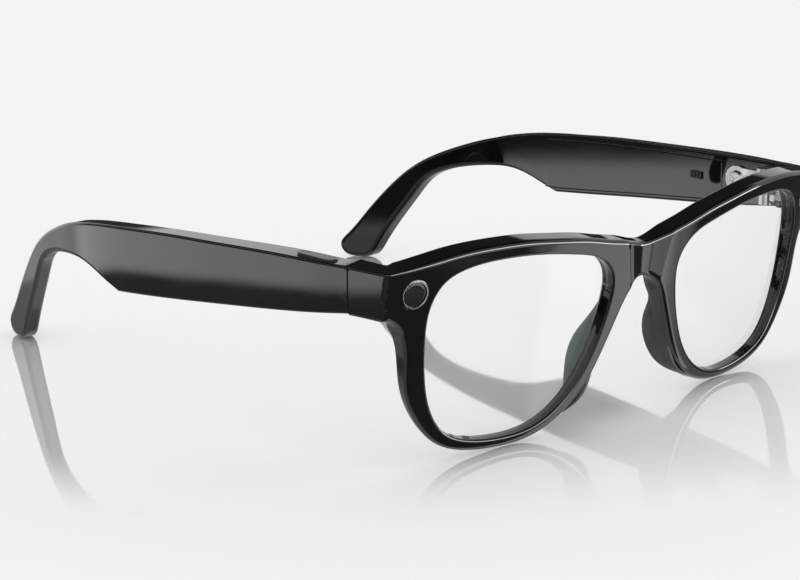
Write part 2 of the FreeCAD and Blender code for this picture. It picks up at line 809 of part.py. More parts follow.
def cavity():
    inner = plan_points(False, cover_thickness + cover_gap)
    outer = plan_points(True, shell_wall)
    band = plan_band(inner, outer, cavity_start, cavity_end)
    return band.common(pod_profile(shell_wall, shell_wall))


def cover_space(gap):
    """The inner cover's place in the shell, wider all round by a gap."""
    inner = plan_points(False, -endpiece_thickness / 2)
    outer = plan_points(False, cover_thickness + gap)
    band = plan_band(inner, outer, cover_start - gap, cover_end + gap)
    return band.common(pod_profile(cover_margin - gap, cover_margin - gap))


def knuckle_space():
    radius = knuckle_radius + knuckle_relief
    corner = V(0, 0, -far)
    ahead = box(corner, V(hinge_x + radius, hinge_y, far))
    inboard = box(corner, V(inner_face, hinge_y + radius, far))
    space = upright(radius, -far, far)
    return space.fuse(ahead).fuse(inboard)


wire_low = hinge_low + wire_rise
wire_high = wire_low + wire_height


def cable_passage():
    low = V(inner_face + wire_depth, 0, wire_low)
    return box(low, V(inner_face + wire_depth + wire_width, split_y + cavity_start + row_gap, wire_high))


def temple_cable():
    x = inner_face + wire_depth + (wire_width - flex_thickness) / 2
    low = V(x, split_y + 3 * wire_gap, wire_low + wire_gap)
    return box(low, V(x + flex_thickness, split_y + cavity_start + wire_lap, wire_high - wire_gap))


# sound outlet in the underside, near the ear
outlet_start = speaker_start + outlet_offset


def underside(behind_split):
    """Height of the pod's underside at a distance behind the split."""
    points = spline_points([temple_point(a, b) for a, b in pod_underside[::-1]], 100)
    y = split_y + behind_split
    for before, after in zip(points, points[1:]):
        if before.y <= y <= after.y:
            return before.z + (after.z - before.z) * (y - before.y) / (after.y - before.y)
    return points[-1].z


def temple_top_at(y):
    """Height of the temple's top edge at y."""
    points = spline_points([temple_point(a, b) for a, b in temple_top_line[:7]], 200)
    for before, after in zip(points, points[1:]):
        if before.y <= y <= after.y:
            return before.z + (after.z - before.z) * (y - before.y) / (after.y - before.y)
    return points[-1].z


def outlet_slot(grow, low, high):
    """Round-ended slot through the underside, from low to high above it at its middle."""
    middle = outlet_start + outlet_length / 2
    x = inner_x(middle) + outlet_depth_share * endpiece_thickness
    z = underside(middle)
    half = outlet_width / 2 + grow
    y0 = split_y + outlet_start + outlet_width / 2
    y1 = split_y + outlet_start + outlet_length - outlet_width / 2
    slot = box(V(x - half, y0, z + low), V(x + half, y1, z + high))
    for y in (y0, y1):
        slot = slot.fuse(cylinder(half, high - low, V(x, y, z + low), V(0, 0, 1)))
    return slot.removeSplitter()


def port_hole():
    z = underside(port_place) + port_height
    x = inner_x(port_place) + endpiece_thickness / 2
    return cylinder(port_radius, endpiece_thickness, V(x, split_y + port_place, z), V(1, 0, 0))


def temple_microphone():
    low = underside(port_place) + port_height - microphone_height / 2
    start = port_place - microphone_length / 2
    depth = port_wall_share * endpiece_thickness - shell_wall - microphone_thickness - fit_gap
    return pod_box(start, microphone_length, low, low + microphone_height, depth, microphone_thickness)


# ------------------------------------------------------------------ capture button and its switch
button_x = half_width - button_inset
button_middle = split_y + button_start + button_length / 2
button_top = temple_top_at(button_middle) + button_proud


def capsule(grow, low, high):
    half = button_width / 2 + grow
    y0 = split_y + button_start + button_width / 2
    y1 = split_y + button_start + button_length - button_width / 2
    solid = box(V(button_x - half, y0, low), V(button_x + half, y1, high))
    for y in (y0, y1):
        solid = solid.fuse(cylinder(half, high - low, V(button_x, y, low), V(0, 0, 1)))
    return solid.removeSplitter()


button_bottom = button_top - button_thickness
button_ledge = button_bottom - button_travel - button_gap


def capture_button():
    cap = capsule(0.0, button_bottom, button_top)
    top_edges = [edge for edge in cap.Edges if edge.CenterOfMass.z > button_top - tolerance]
    cap = cap.makeFillet(button_proud * 0.75, top_edges)
    plunger_foot = V(button_x, button_middle, button_bottom - plunger_length)
    plunger = cylinder(plunger_radius, 2 * plunger_length, plunger_foot, V(0, 0, 1))
    return cap.fuse(plunger)


tact_top = button_bottom - plunger_length - button_travel - tact_clearance


def button_switch(grow):
    half_x = tact_width / 2 + grow
    half_y = tact_length / 2 + grow
    return box(V(button_x - half_x, button_middle - half_y, tact_top - tact_height - grow),
               V(button_x + half_x, button_middle + half_y, tact_top + grow))


def button_space():
    space = capsule(button_gap, button_ledge, button_top + button_thickness)
    shaft_foot = V(button_x, button_middle, tact_top)
    shaft = cylinder(plunger_radius + button_gap, button_top - tact_top, shaft_foot, V(0, 0, 1))
    return space.fuse(shaft).fuse(button_switch(fit_gap / 2))


# ------------------------------------------------------------------ power switch on the left inner cover
knob_z = hinge_middle - knob_drop
slot_length = switch_knob_length + switch_travel + 2 * switch_gap
flange_depth = cover_thickness + flange_gap


def knob_slot():
    half = switch_knob_height / 2 + switch_gap
    return pod_box(switch_start - switch_gap, slot_length, knob_z - half, knob_z + half,
                   -2 * switch_proud, 4 * cover_thickness)


def power_switch():
    half = switch_knob_height / 2
    knob = pod_box(switch_start, switch_knob_length, knob_z - half, knob_z + half, -switch_proud,
                   switch_proud + flange_depth + flange_thickness / 2)
    start = switch_start - flange_extra
    flange = pod_box(start, switch_knob_length + 2 * flange_extra, knob_z - half - flange_extra,
                     knob_z + half + flange_extra, flange_depth, flange_thickness)
    solid = knob.fuse(flange)
    for step in range(3):
        groove_start = switch_start + switch_knob_length * (step + 1) / 4 - groove_width / 2
        solid = solid.cut(pod_box(groove_start, groove_width, knob_z - switch_knob_height,
                                  knob_z + switch_knob_height, -2 * switch_proud, switch_proud + groove_depth))
    return solid


slide_body_depth = flange_depth + flange_thickness + fit_gap


def slide_switch_body():
    start = switch_start - flange_extra - slide_body_lap
    length = slot_length + 2 * flange_extra + slide_body_lap
    half = slide_body_height / 2
    return pod_box(start, length, knob_z - half, knob_z + half, slide_body_depth, slide_body_thickness)


# ------------------------------------------------------------------ electronics in the temples
board_start_y = cavity_start + board_start_gap
board_depth = cover_thickness + main_board_gap


def pod_heights(start, length, below_top, above_under):
    """Level limits that clear the pod's sloping top and underside over a length."""
    top = temple_top_at(split_y + start + length)
    return underside(start) + above_under, top - below_top


def main_board():
    low, high = pod_heights(board_start_y, main_board_length, shell_wall + piece_gap, shell_wall + piece_gap)
    return pod_box(board_start_y, main_board_length, low, high, board_depth, board_thickness)


def processor_shield():
    margin = shell_wall + piece_gap + shield_margin
    low, high = pod_heights(board_start_y, main_board_length, margin, margin)
    depth = board_depth + board_thickness
    return pod_box(board_start_y + shield_start, shield_length, low, high, depth, shield_thickness)


def touchpad_sensor():
    start = board_start_y + sensor_start
    low, high = pod_heights(start, sensor_length, shell_wall + piece_gap, shell_wall + piece_gap)
    depth = sensor_wall_share * endpiece_thickness - shell_wall - sensor_gap - sensor_thickness
    return pod_box(start, sensor_length, low, high, depth, sensor_thickness)


def battery():
    low, high = pod_heights(battery_start, battery_length, shell_wall + piece_gap, shell_wall + piece_gap)
    depth = cover_thickness + piece_gap
    return pod_box(battery_start, battery_length, low, high, depth, battery_thickness)


def power_board():
    above_port = port_height + microphone_height / 2 + piece_gap
    low, high = pod_heights(board_start_y, power_board_length, shell_wall + piece_gap, above_port)
    depth = slide_body_depth + slide_body_thickness
    return pod_box(board_start_y, power_board_length, low, high, depth, board_thickness)


def speaker():
    low = underside(speaker_start) + shell_wall + piece_gap
    depth = cover_thickness + piece_gap
    return pod_box(speaker_start, speaker_length, low, low + speaker_height, depth, speaker_thickness)


# ------------------------------------------------------------------ assembly
def front_parts():
    blank = front_blank()
    pad = nose_pad(blank)
    opening = opening_prism(0.0)
    groove = lens_groove()
    frame = blank.cut(bridge_scoop())
    for tool in (opening, groove, eye_bore(), front_leaf_seat(), small_screws(fit_gap / 2)):
        frame = frame.cut(tool).cut(mirrored(tool))
    channel = channel_band(0.0)
    frame = frame.cut(channel.common(back_slab(-channel_depth, channel_depth)))
    for side in (-1, 1):
        frame = frame.cut(contact_block(side, contact_height, fit_gap / 2))
    add("front_frame", frame)
    strip = channel_band(fit_gap / 2)
    add("brow_cover", strip.common(back_slab(0.0, channel_cover_thickness)))
    wire = channel_band(3 * fit_gap)
    add("front_flex_cable", wire.common(back_slab(channel_depth - flex_thickness, channel_depth)))
    half = microphone_length / 2
    place = strip.common(box(V(-half, -far, 0), V(half, far, far)))
    deep = channel_depth - flex_thickness
    add("bridge_microphone", place.common(back_slab(deep - microphone_thickness, deep)))
    add("charging_contacts", Part.makeCompound([contact_block(side, 0.0, 0.0) for side in (-1, 1)]))
    add_pair("lens", lens())
    add_pair("nose_pad", pad)
    add("camera_bezel_ring", bezel_ring())
    add("camera_window", window_disc())
    add("camera_module", camera_module())
    add("camera_board", eye_board())
    add("indicator_bezel_ring", mirrored(bezel_ring()))
    add("indicator_window", mirrored(window_disc()))
    add("indicator_light_guide", mirrored(light_guide()))
    add("indicator_board", mirrored(eye_board()))
    add_pair("hinge_front_leaf", front_leaf())
    add_pair("hinge_pin", hinge_pin())
    screws = small_screws(0.0)
    add("front_leaf_screws", Part.makeCompound(screws.Solids + mirrored(screws).Solids))


def channel_band(inset):
    """The cable channel in the brow, seen from behind, drawn in by inset."""
    upper = channel_drop + inset
    return brow_band(upper, channel_drop + channel_height - inset, channel_end - inset)


def contact_block(side, out, grow):
    """A contact in the back of the bridge, standing out of it by out."""
    x = side * contact_spacing / 2
    y = rim_thickness - math.tan(math.radians(back_angle)) * contact_z
    half_w = contact_width / 2 + grow
    half_h = contact_height / 2 + grow
    return box(V(x - half_w, y - contact_thickness - grow, contact_z - half_h),
               V(x + half_w, y + contact_proud + out, contact_z + half_h))


def temple_parts():
    blank = temple_blank()
    space = cover_space(cover_gap)
    shell = blank.cut(cavity()).cut(space)
    shell = shell.cut(knuckle_space()).cut(cable_passage())
    shell = shell.cut(outlet_slot(0.0, -outlet_reach, 2 * outlet_reach))
    shell = shell.cut(outlet_slot(mesh_seat, outlet_lip, outlet_reach)).cut(port_hole())
    seat = plate_shape(fit_gap / 2, leaf_inner - leaf_thickness, leaf_outer + fit_gap / 2)
    shell = shell.cut(seat).cut(leaf_screw(fit_gap / 2))
    shell = shell.cut(box(V(0, 0, -far), V(leaf_outer + fit_gap, plate_front + 2 * fit_gap, far)))
    cover = blank.common(cover_space(0.0)).cut(cavity())
    return shell, cover


def both_temples():
    shell, cover = temple_parts()
    add("left_temple_shell", shell)
    add("right_temple_shell", mirrored(shell.cut(button_space())))
    add("left_temple_inner_cover", cover.cut(knob_slot()))
    add("right_temple_inner_cover", mirrored(cover))
    add_pair("hinge_temple_leaf", temple_leaf())
    add_pair("hinge_leaf_screw", leaf_screw(0.0))
    add_pair("temple_flex_cable", temple_cable())
    add_pair("speaker", speaker())
    mesh_low = outlet_lip + fit_gap / 4
    add_pair("speaker_mesh", outlet_slot(mesh_seat - fit_gap / 2, mesh_low, mesh_low + mesh_thickness))
    add_pair("temple_microphone", temple_microphone())
    add("left_power_switch", power_switch())
    add("left_slide_switch_body", slide_switch_body())
    add("left_battery", battery())
    add("left_power_board", power_board())
    add("right_capture_button", mirrored(capture_button()))
    add("right_button_switch", mirrored(button_switch(0.0)))
    add("right_main_board", mirrored(main_board()))
    add("right_processor_shield", mirrored(processor_shield()))
    add("right_touchpad_sensor", mirrored(touchpad_sensor()))


front_parts()
both_temples()

# the row's origin is the middle of the bounding box, on the surface that the glasses stand on
bounds = Part.makeCompound(list(parts.values())).optimalBoundingBox()
shift = V(0, -(bounds.YMin + bounds.YMax) / 2, -bounds.ZMin)
for name, shape in parts.items():
    placed = shape.copy()
    placed.translate(shift)
    placed.exportStep("parts/" + name + ".step")
print("moved back by", round(shift.y, 3), "and up by", round(shift.z, 3))
print("hinge axis at", round(hinge_x, 3), round(hinge_y + shift.y, 3))
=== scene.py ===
import json
import math
import bmesh
import bpy
import numpy as np
from mathutils import Vector, Matrix
from mathutils.geometry import delaunay_2d_cdt


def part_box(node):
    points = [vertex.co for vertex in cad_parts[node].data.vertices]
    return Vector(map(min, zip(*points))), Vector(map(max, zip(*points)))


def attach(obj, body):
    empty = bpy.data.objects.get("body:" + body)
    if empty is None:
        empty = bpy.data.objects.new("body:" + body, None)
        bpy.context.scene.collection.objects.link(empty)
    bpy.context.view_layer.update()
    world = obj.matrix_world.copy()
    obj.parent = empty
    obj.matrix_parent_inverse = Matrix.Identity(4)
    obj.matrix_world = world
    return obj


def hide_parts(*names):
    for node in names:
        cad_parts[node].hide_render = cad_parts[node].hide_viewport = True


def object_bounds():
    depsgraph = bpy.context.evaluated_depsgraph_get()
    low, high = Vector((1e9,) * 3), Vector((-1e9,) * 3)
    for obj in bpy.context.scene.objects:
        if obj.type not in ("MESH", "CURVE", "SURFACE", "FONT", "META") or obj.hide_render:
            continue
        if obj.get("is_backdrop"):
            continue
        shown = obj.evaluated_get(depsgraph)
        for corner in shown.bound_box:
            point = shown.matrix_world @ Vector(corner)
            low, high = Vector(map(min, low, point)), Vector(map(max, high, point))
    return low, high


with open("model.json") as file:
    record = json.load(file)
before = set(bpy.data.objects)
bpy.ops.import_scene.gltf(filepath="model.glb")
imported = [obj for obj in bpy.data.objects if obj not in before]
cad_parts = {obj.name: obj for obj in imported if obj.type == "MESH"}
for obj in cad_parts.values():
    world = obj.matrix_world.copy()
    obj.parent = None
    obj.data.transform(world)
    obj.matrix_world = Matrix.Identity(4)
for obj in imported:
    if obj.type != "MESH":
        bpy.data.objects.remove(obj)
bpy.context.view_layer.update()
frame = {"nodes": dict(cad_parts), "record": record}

NODES = frame["nodes"]

# ---------------------------------------------------------------- where the model stands
# Shapes are worked out in millimetres, in a frame whose y = 0 is the foot of the front's face.
# The front's width and the frame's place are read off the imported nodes.
SPLIT = 13.2                 # y of the split between the front and the temples
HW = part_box("front_frame")[1].x * 1000.0
SPLIT_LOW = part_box("left_temple_shell")[0]
SHIFT_Y = SPLIT_LOW.y * 1000.0 - SPLIT
SHIFT_Z = SPLIT_LOW.z * 1000.0
MM = 0.001

# ---------------------------------------------------------------- measures of the front
R_FRONT = 294.0              # radius of the front's bow, seen from above
LEAN_DEG = 8.4               # lean of the front's face
LEAN = math.tan(math.radians(LEAN_DEG))
LEAN_COS = math.cos(math.radians(LEAN_DEG))
LENS_X = 35.9                # middle of a lens opening
OPEN_W, OPEN_H = 49.8, 40.5  # its width and height
RIM_BOTTOM = 2.6             # the rim's width under it
BROW_W = 3.5                 # how far the brow rises over it
OPEN_TOP = RIM_BOTTOM + OPEN_H
OPEN_MID = RIM_BOTTOM + OPEN_H / 2
T_TOP, T_LOW = 5.2, 3.6      # the front's depth at OPEN_TOP and at z = 0
END_TOP = OPEN_TOP + 0.27 * BROW_W   # the endpiece's top and bottom
END_LOW = END_TOP - 10.2
END_RISE = 0.65              # how much its top's inner edge stands over the outer edge at the hinge
RISE_DEPTH = 3.0             # height over which that sets in
REACH = 13.0                 # y where the front ends, just before the split
INNER = HW - 6.1             # the endpiece's inner face, and the rounding that leads to it
INNER_CORNER = 1.0
FACE = HW - 2.1              # its outer face at the corner, and that corner's rounding
CORNER = 1.1
FLARE = 0.085                # how much wider it gets per millimetre towards the split
FLARE_BLEND = 3.0            # run before the corner over which that sets in
BRIDGE_LOW = OPEN_TOP - 11.4
ARCH_HALF, ARCH_DEPTH = 7.0, 6.6
BACK_SLOPE = LEAN - (T_TOP - T_LOW) / OPEN_TOP
BACK_COS = math.cos(math.atan(BACK_SLOPE))

# the opening's edge, counterclockwise from its outer side, in halves of its width and height
OPENING = [
    (0.996, 0.279), (0.980, 0.600), (0.863, 0.852), (0.647, 0.965), (0.325, 1.0), (-0.116, 0.970),
    (-0.558, 0.881), (-0.855, 0.753), (-0.992, 0.536), (-0.992, 0.259), (-0.884, -0.190),
    (-0.727, -0.546), (-0.486, -0.832), (-0.197, -0.978), (0.124, -1.0), (0.446, -0.946),
    (0.707, -0.802), (0.871, -0.526), (0.960, -0.151),
]
# from that list's last point backwards: the rim's width in RIM_BOTTOMs, and how much narrower it gets
# per millimetre of depth
RIM = [1.87, 1.52, 1.23, 1.09, 1.0, 1.0, 1.10, 1.30, 1.41]
DRAFT = [0.30, 0.30, 0.28, 0.22, 0.12, -0.05, -0.20, -0.22, -0.10]
# points under the endpiece, inward from HW and down from END_LOW; the bridge's arch in
# (ARCH_HALF, ARCH_DEPTH); the top line in (HW, BROW_W)
UNDER_END = [(3.6, 0.0), (6.7, 2.8)]
ARCH = [(1.0, 1.0), (0.76, 0.52), (0.42, 0.14)]
BROW = [
    (0.0, -0.93), (0.085, -0.56), (0.17, -0.20), (0.27, 0.26), (0.38, 0.60), (0.49, 0.886), (0.61, 1.0),
    (0.73, 0.93), (0.84, 0.63), (0.95, 0.31), (1.05, 0.2),
]
TOP_COUNT, LOW_COUNT, OPENING_COUNT = 190, 430, 241   # points along the outline and the openings


# ---------------------------------------------------------------- curves
def cubic(points, closed=False):
    """A smooth cubic curve through points, as a function of its parameters, and the two end parameters."""
    q = np.array(points, float)
    n, lap = len(q), 6
    if closed:
        q = q[[i % n for i in range(-lap, n + lap + 1)]]
    d = np.linalg.norm(np.diff(q, axis=0), axis=1)
    t = np.concatenate([[0.0], np.cumsum(d)])
    m = len(q)
    a = np.zeros((m, m))
    r = np.zeros((m, q.shape[1]))
    a[0, 0] = a[-1, -1] = 1.0
    for i in range(1, m - 1):
        a[i, i - 1] = d[i - 1]
        a[i, i] = 2 * (d[i - 1] + d[i])
        a[i, i + 1] = d[i]
        r[i] = 6 * ((q[i + 1] - q[i]) / d[i] - (q[i] - q[i - 1]) / d[i - 1])
    k = np.linalg.solve(a, r)

    def at(s):
        s = np.atleast_1d(s)
        i = np.clip(np.searchsorted(t, s) - 1, 0, m - 2)
        h = d[i][:, None]
        u = (s - t[i])[:, None]
        w = h - u
        return (k[i] * w ** 3 + k[i + 1] * u ** 3) / (6 * h) + (q[i] / h - k[i] * h / 6) * w \
            + (q[i + 1] / h - k[i + 1] * h / 6) * u

    return (at, t[lap], t[lap + n]) if closed else (at, t[0], t[-1])


def sample(points, count, closed=False):
    """Evenly spaced points along the smooth curve; a closed one leaves out the last, which is the first."""
    at, lo, hi = cubic(points, closed)
    s = np.linspace(lo, hi, 1500)
    run = np.concatenate([[0.0], np.cumsum(np.linalg.norm(np.diff(at(s), axis=0), axis=1))])
    out = at(np.interp(np.linspace(0.0, run[-1], count), run, s))
    return out[:-1] if closed else out


def smoothstep(t):
    t = np.clip(t, 0.0, 1.0)
    return t * t * (3 - 2 * t)


def blur(values, rounds):
    """Evens out numbers that run round a closed loop."""
    out = values.astype(float)
    for _ in range(rounds):
        out = (np.roll(out, 1) + 2 * out + np.roll(out, -1)) / 4
    return out


def inset(points, dist):
    """Points moved into the material, on the right hand of the run, by dist, one per point."""
    ahead = np.roll(points, -1, 0) - points
    n1 = np.stack([ahead[:, 1], -ahead[:, 0]], -1)
    n1 /= np.linalg.norm(n1, axis=1)[:, None]
    n0 = np.roll(n1, 1, 0)
    mid = n0 + n1
    mid /= np.linalg.norm(mid, axis=1)[:, None]
    cos_half_turn = np.clip((mid * n0).sum(1), 0.45, 1.0)
    return points + mid * (dist / cos_half_turn)[:, None]


def grid_points(low, high, step):
    """Points in staggered rows between two corners of a box."""
    return np.array([(a + (step / 2 if j % 2 else 0), b)
                     for j, b in enumerate(np.arange(low[1], high[1], step))
                     for a in np.arange(low[0], high[0], step)])


# ---------------------------------------------------------------- the front's faces
# Both faces are sheets over (s, z): s is x on the face and the run round the corner beyond it.
def bow(x):
    """How far the front's face lies back at x."""
    return R_FRONT - np.sqrt(R_FRONT ** 2 - x ** 2)


def front_y(x, z):
    return bow(x) / LEAN_COS - LEAN * z


def back_y(x, z):
    return bow(x) / BACK_COS + T_LOW - BACK_SLOPE * z


SCOOP_HALF, SCOOP_Z, SCOOP_TAPER = 7.2, 41.0, 0.23   # half width at SCOOP_Z, less per millimetre below it
SCOOP_DEPTH, SCOOP_SOFT, SCOOP_LEAST = 1.5, 0.05, 0.6


def scoop_half(z):
    """Half the distance between the two creases on the bridge's face at height z."""
    return SCOOP_HALF - SCOOP_TAPER * (SCOOP_Z - z)


def scoop(x, z):
    """Depth of the hollow between the creases."""
    half = np.maximum(scoop_half(z), SCOOP_LEAST)
    t = np.abs(x) / half
    within = 1.0 - t * t
    return SCOOP_DEPTH * half / SCOOP_HALF * 0.5 * (within + np.sqrt(within ** 2 + SCOOP_SOFT ** 2))


CORNER_X = FACE - CORNER     # middle of the outer corner's rounding
PHI = math.atan(CORNER_X / math.sqrt(R_FRONT ** 2 - CORNER_X ** 2) / LEAN_COS)
XA = CORNER_X + CORNER * math.sin(PHI)
SIDE_LEN = 11.0
S_SIDE = XA + CORNER * (math.pi / 2 - PHI)
S_END = S_SIDE + SIDE_LEN


def corner_turn(a):
    """Turn of the outer face round its corner."""
    return PHI + np.clip((a - XA) / CORNER, 0, math.pi / 2 - PHI)


def corner_y(z):
    """y of the corner's middle."""
    return front_y(XA, z) + CORNER * math.cos(PHI)


def x_of_s(s):
    """x of the outer face at s, without the flare."""
    a = np.abs(s)
    return np.sign(s) * np.where(a <= XA, a, CORNER_X + CORNER * np.sin(corner_turn(a)))


def outer(s, z):
    """Front face, corner and side face of the front as one sheet."""
    a = np.abs(s)
    on_face = np.minimum(a, XA)
    turn = corner_turn(a)
    yc = corner_y(z)
    round_x = CORNER_X + CORNER * np.sin(turn)
    round_y = yc - CORNER * np.cos(turn)
    side_y = yc + (a - S_SIDE) / SIDE_LEN * (REACH - yc)
    x = np.where(a <= XA, on_face, np.where(a <= S_SIDE, round_x, FACE))
    y = np.where(a <= XA, front_y(on_face, z) + scoop(on_face, z), np.where(a <= S_SIDE, round_y, side_y))
    flared = smoothstep((a - XA + FLARE_BLEND) / FLARE_BLEND)
    x = x + FLARE * np.maximum(y - front_y(XA, END_TOP), 0.0) * flared
    return np.stack([np.where(s < 0, -1.0, 1.0) * x, y, z], -1)


INNER_X = INNER - INNER_CORNER
PHI_I = math.atan(INNER_X / math.sqrt(R_FRONT ** 2 - INNER_X ** 2))
XJ = INNER_X + INNER_CORNER * math.sin(PHI_I)


def inner(s, z):
    """Back face, hollow corner and inner face of the front as one sheet."""
    a = np.abs(s)
    yc = back_y(XJ, z) + INNER_CORNER * math.cos(PHI_I)
    out_yc = corner_y(z)
    s_end = S_SIDE + SIDE_LEN * (yc - out_yc) / (REACH - out_yc)
    turn = PHI_I + np.clip((a - XJ) / (s_end - XJ), 0, 1) * (math.pi / 2 - PHI_I)
    round_x = INNER_X + INNER_CORNER * np.sin(turn)
    round_y = yc - INNER_CORNER * np.cos(turn)
    x = np.where(a <= XJ, a, np.where(a < s_end, round_x, INNER))
    y = np.where(a <= XJ, back_y(a, z), np.where(a < s_end, round_y, outer(a, z)[..., 1]))
    return np.stack([np.where(s < 0, -1.0, 1.0) * x, y, z], -1)


LEAN_FROM, LEAN_OVER = 0.73, 0.19    # in half widths, where the edge starts to turn level, and the run of it


def lean_share(x):
    """1 where the front's edge stands square to its face, 0 where it runs level at the endpiece."""
    return 1.0 - smoothstep((np.abs(x) / HW - LEAN_FROM) / LEAN_OVER)


def end_rise(z):
    """How much the endpiece's inner edge stands over the outer one at height z."""
    return END_RISE * smoothstep((z - (END_TOP - RISE_DEPTH)) / RISE_DEPTH)


def opening_points(offset):
    """The lens opening's points, moved outward by offset, one number or a list of one per point."""
    pts = [(LENS_X + a * OPEN_W / 2, OPEN_MID + b * OPEN_H / 2) for a, b in OPENING]
    out = []
    for i, (x, z) in enumerate(pts):
        before, after = pts[i - 1], pts[(i + 1) % len(pts)]
        dx, dz = after[0] - before[0], after[1] - before[1]
        n = math.hypot(dx, dz)
        move = offset[i] if isinstance(offset, list) else offset
        out.append((x + move * dz / n, z - move * dx / n))
    return out


def opening_loop(offset, count, side):
    """The opening's edge on one side, with the front's material on the right hand."""
    pts = sample(opening_points(offset), count, closed=True)
    pts = np.stack([pts[:, 0] * side, pts[:, 1]], -1)
    return pts[::-1] if side < 0 else pts


def lens_axis(side):
    """Change of x and z per millimetre of depth through an opening."""
    return np.array([-LENS_X * side / R_FRONT, LEAN])


# ---------------------------------------------------------------- outline of the front
def outline(at_back):
    """The outline as (s, z) points, clockwise seen from the front, and each point's kind of edge."""
    half = [(HW * a, OPEN_TOP + BROW_W * b) for a, b in BROW]
    top = sample([(-x, z) for x, z in half[:0:-1]] + half, TOP_COUNT)
    last = len(OPENING) - 1
    widths = [0.0] * len(OPENING)
    for k, share in enumerate(RIM):
        widths[last - k] = share * RIM_BOTTOM
    ring = opening_points(widths)
    if at_back:
        for k, draft in enumerate(DRAFT):
            x, z = ring[last - k]
            widths[last - k] -= draft * float(back_y(x, z) - front_y(x, z))
        ring = opening_points(widths)
    low = [(HW - a, END_LOW - b) for a, b in UNDER_END]
    low += [ring[last - k] for k in range(len(RIM))]
    low += [(a * ARCH_HALF, BRIDGE_LOW - d * ARCH_DEPTH) for a, d in ARCH]
    low += [(0.0, BRIDGE_LOW)] + [(-x, z) for x, z in low[::-1]]
    low = sample(low, LOW_COUNT)
    middle = top[np.abs(top[:, 0]) < XA - 0.2]
    round_end = np.concatenate([np.linspace(XA, S_SIDE, 9), np.linspace(S_SIDE, S_END, 12)[1:]])
    right = np.stack([round_end, np.interp(x_of_s(round_end), top[:, 0], top[:, 1])], -1)
    down = np.stack([np.full(9, S_END), np.linspace(right[-1, 1], END_LOW, 11)[1:-1]], -1)
    back = np.stack([round_end[::-1], np.full(len(round_end), END_LOW)], -1)
    gap = np.linspace(XA, low[0, 0], 4)[1:-1]
    gap = np.stack([gap, np.full(len(gap), END_LOW)], -1)
    flip = lambda q: np.stack([-q[::-1, 0], q[::-1, 1]], -1)
    runs = [("top", middle), ("top", right), ("end", down), ("under", back), ("under", gap), ("rim", low),
            ("under", flip(gap)), ("under", flip(back)), ("end", flip(down)), ("top", flip(right))]
    return np.concatenate([q for _, q in runs]), np.concatenate([[kind] * len(q) for kind, q in runs])


STEPS = 6                    # faces round each rounded edge
SUPPORT = 0.3                # a ring of flat face kept beside it


def section(r_f, r_b, thick):
    """(inset, share of the depth) round an edge, from the front face to the back face."""
    turns = [math.pi / 2 * k / STEPS for k in range(STEPS + 1)]
    plan = [(r_f + SUPPORT, np.zeros_like(thick))]
    plan += [(r_f * (1 - math.sin(a)), r_f * (1 - math.cos(a)) / thick) for a in turns]
    plan += [(r_b * (1 - math.cos(a)), 1.0 - r_b * (1 - math.sin(a)) / thick) for a in turns]
    return plan + [(r_b + SUPPORT, np.ones_like(thick))]


# ---------------------------------------------------------------- meshes
SHARP_ANGLE = 32.0           # degrees from which an edge stays sharp
MERGE, SLIVER = 1e-6, 1e-7   # metres under which points are joined and faces dropped
KEEP_OFF = 0.35              # distance in millimetres of a sheet's inner points from its edges
CHUNK = 200


class Builder:
    """Collects vertices in millimetres and faces, then makes the object."""

    def __init__(self):
        self.blocks, self.faces, self.finishes, self.count = [], [], [], 0

    def add(self, pts):
        """Adds vertices and returns their numbers."""
        self.blocks.append(np.asarray(pts, float).reshape(-1, 3))
        start = self.count
        self.count += len(self.blocks[-1])
        return np.arange(start, self.count)

    def face(self, ids, finish=0):
        self.faces.append(tuple(int(i) for i in ids))
        self.finishes.append(finish)

    def skin(self, rings, bright=()):
        """Faces between closed rings of vertices; the steps in bright get the second finish."""
        for k, (a, b) in enumerate(zip(rings, rings[1:])):
            for corners in zip(a, np.roll(a, -1), np.roll(b, -1), b):
                self.face(corners, 1 if k in bright else 0)

    def make(self, name, body, materials, replaces, slot, angle=SHARP_ANGLE):
        pts = np.concatenate(self.blocks) * MM + np.array([0.0, SHIFT_Y * MM, SHIFT_Z * MM])
        mesh = bpy.data.meshes.new(name)
        mesh.from_pydata(pts.tolist(), [], self.faces)
        mesh.update()
        obj = bpy.data.objects.new(name, mesh)
        bpy.context.scene.collection.objects.link(obj)
        for m in materials:
            mesh.materials.append(m)
        for poly, finish in zip(mesh.polygons, self.finishes):
            poly.material_index = finish
            poly.use_smooth = True
        clean(mesh)
        mesh.set_sharp_from_angle(angle=math.radians(angle))
        smooth = obj.modifiers.new("even_normals", "WEIGHTED_NORMAL")
        smooth.weight = 50
        smooth.keep_sharp = True
        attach(obj, body)
        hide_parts(*replaces)
        return obj


def clean(mesh):
    bm = bmesh.new()
    bm.from_mesh(mesh)
    bmesh.ops.remove_doubles(bm, verts=bm.verts, dist=MERGE)
    bmesh.ops.dissolve_degenerate(bm, dist=SLIVER, edges=bm.edges)
    bmesh.ops.recalc_face_normals(bm, faces=bm.faces)
    bm.to_mesh(mesh)
    bm.free()
    mesh.update()


def inside(p, loop):
    """Which points lie inside a closed loop."""
    x, z = p[:, 0], p[:, 1]
    ax, az = loop[:, 0], loop[:, 1]
    bx, bz = np.roll(ax, -1), np.roll(az, -1)
    res = np.zeros(len(p), bool)
    for i in range(len(loop)):
        spans = (az[i] > z) != (bz[i] > z)
        if spans.any():
            cross = (bx[i] - ax[i]) * (z - az[i]) / (bz[i] - az[i] + 1e-30) + ax[i]
            res ^= spans & (x < cross)
    return res


def between(p, loops):
    """Which points lie inside the first loop and outside the others."""
    ok = inside(p, loops[0])
    for hole in loops[1:]:
        ok &= ~inside(p, hole)
    return ok


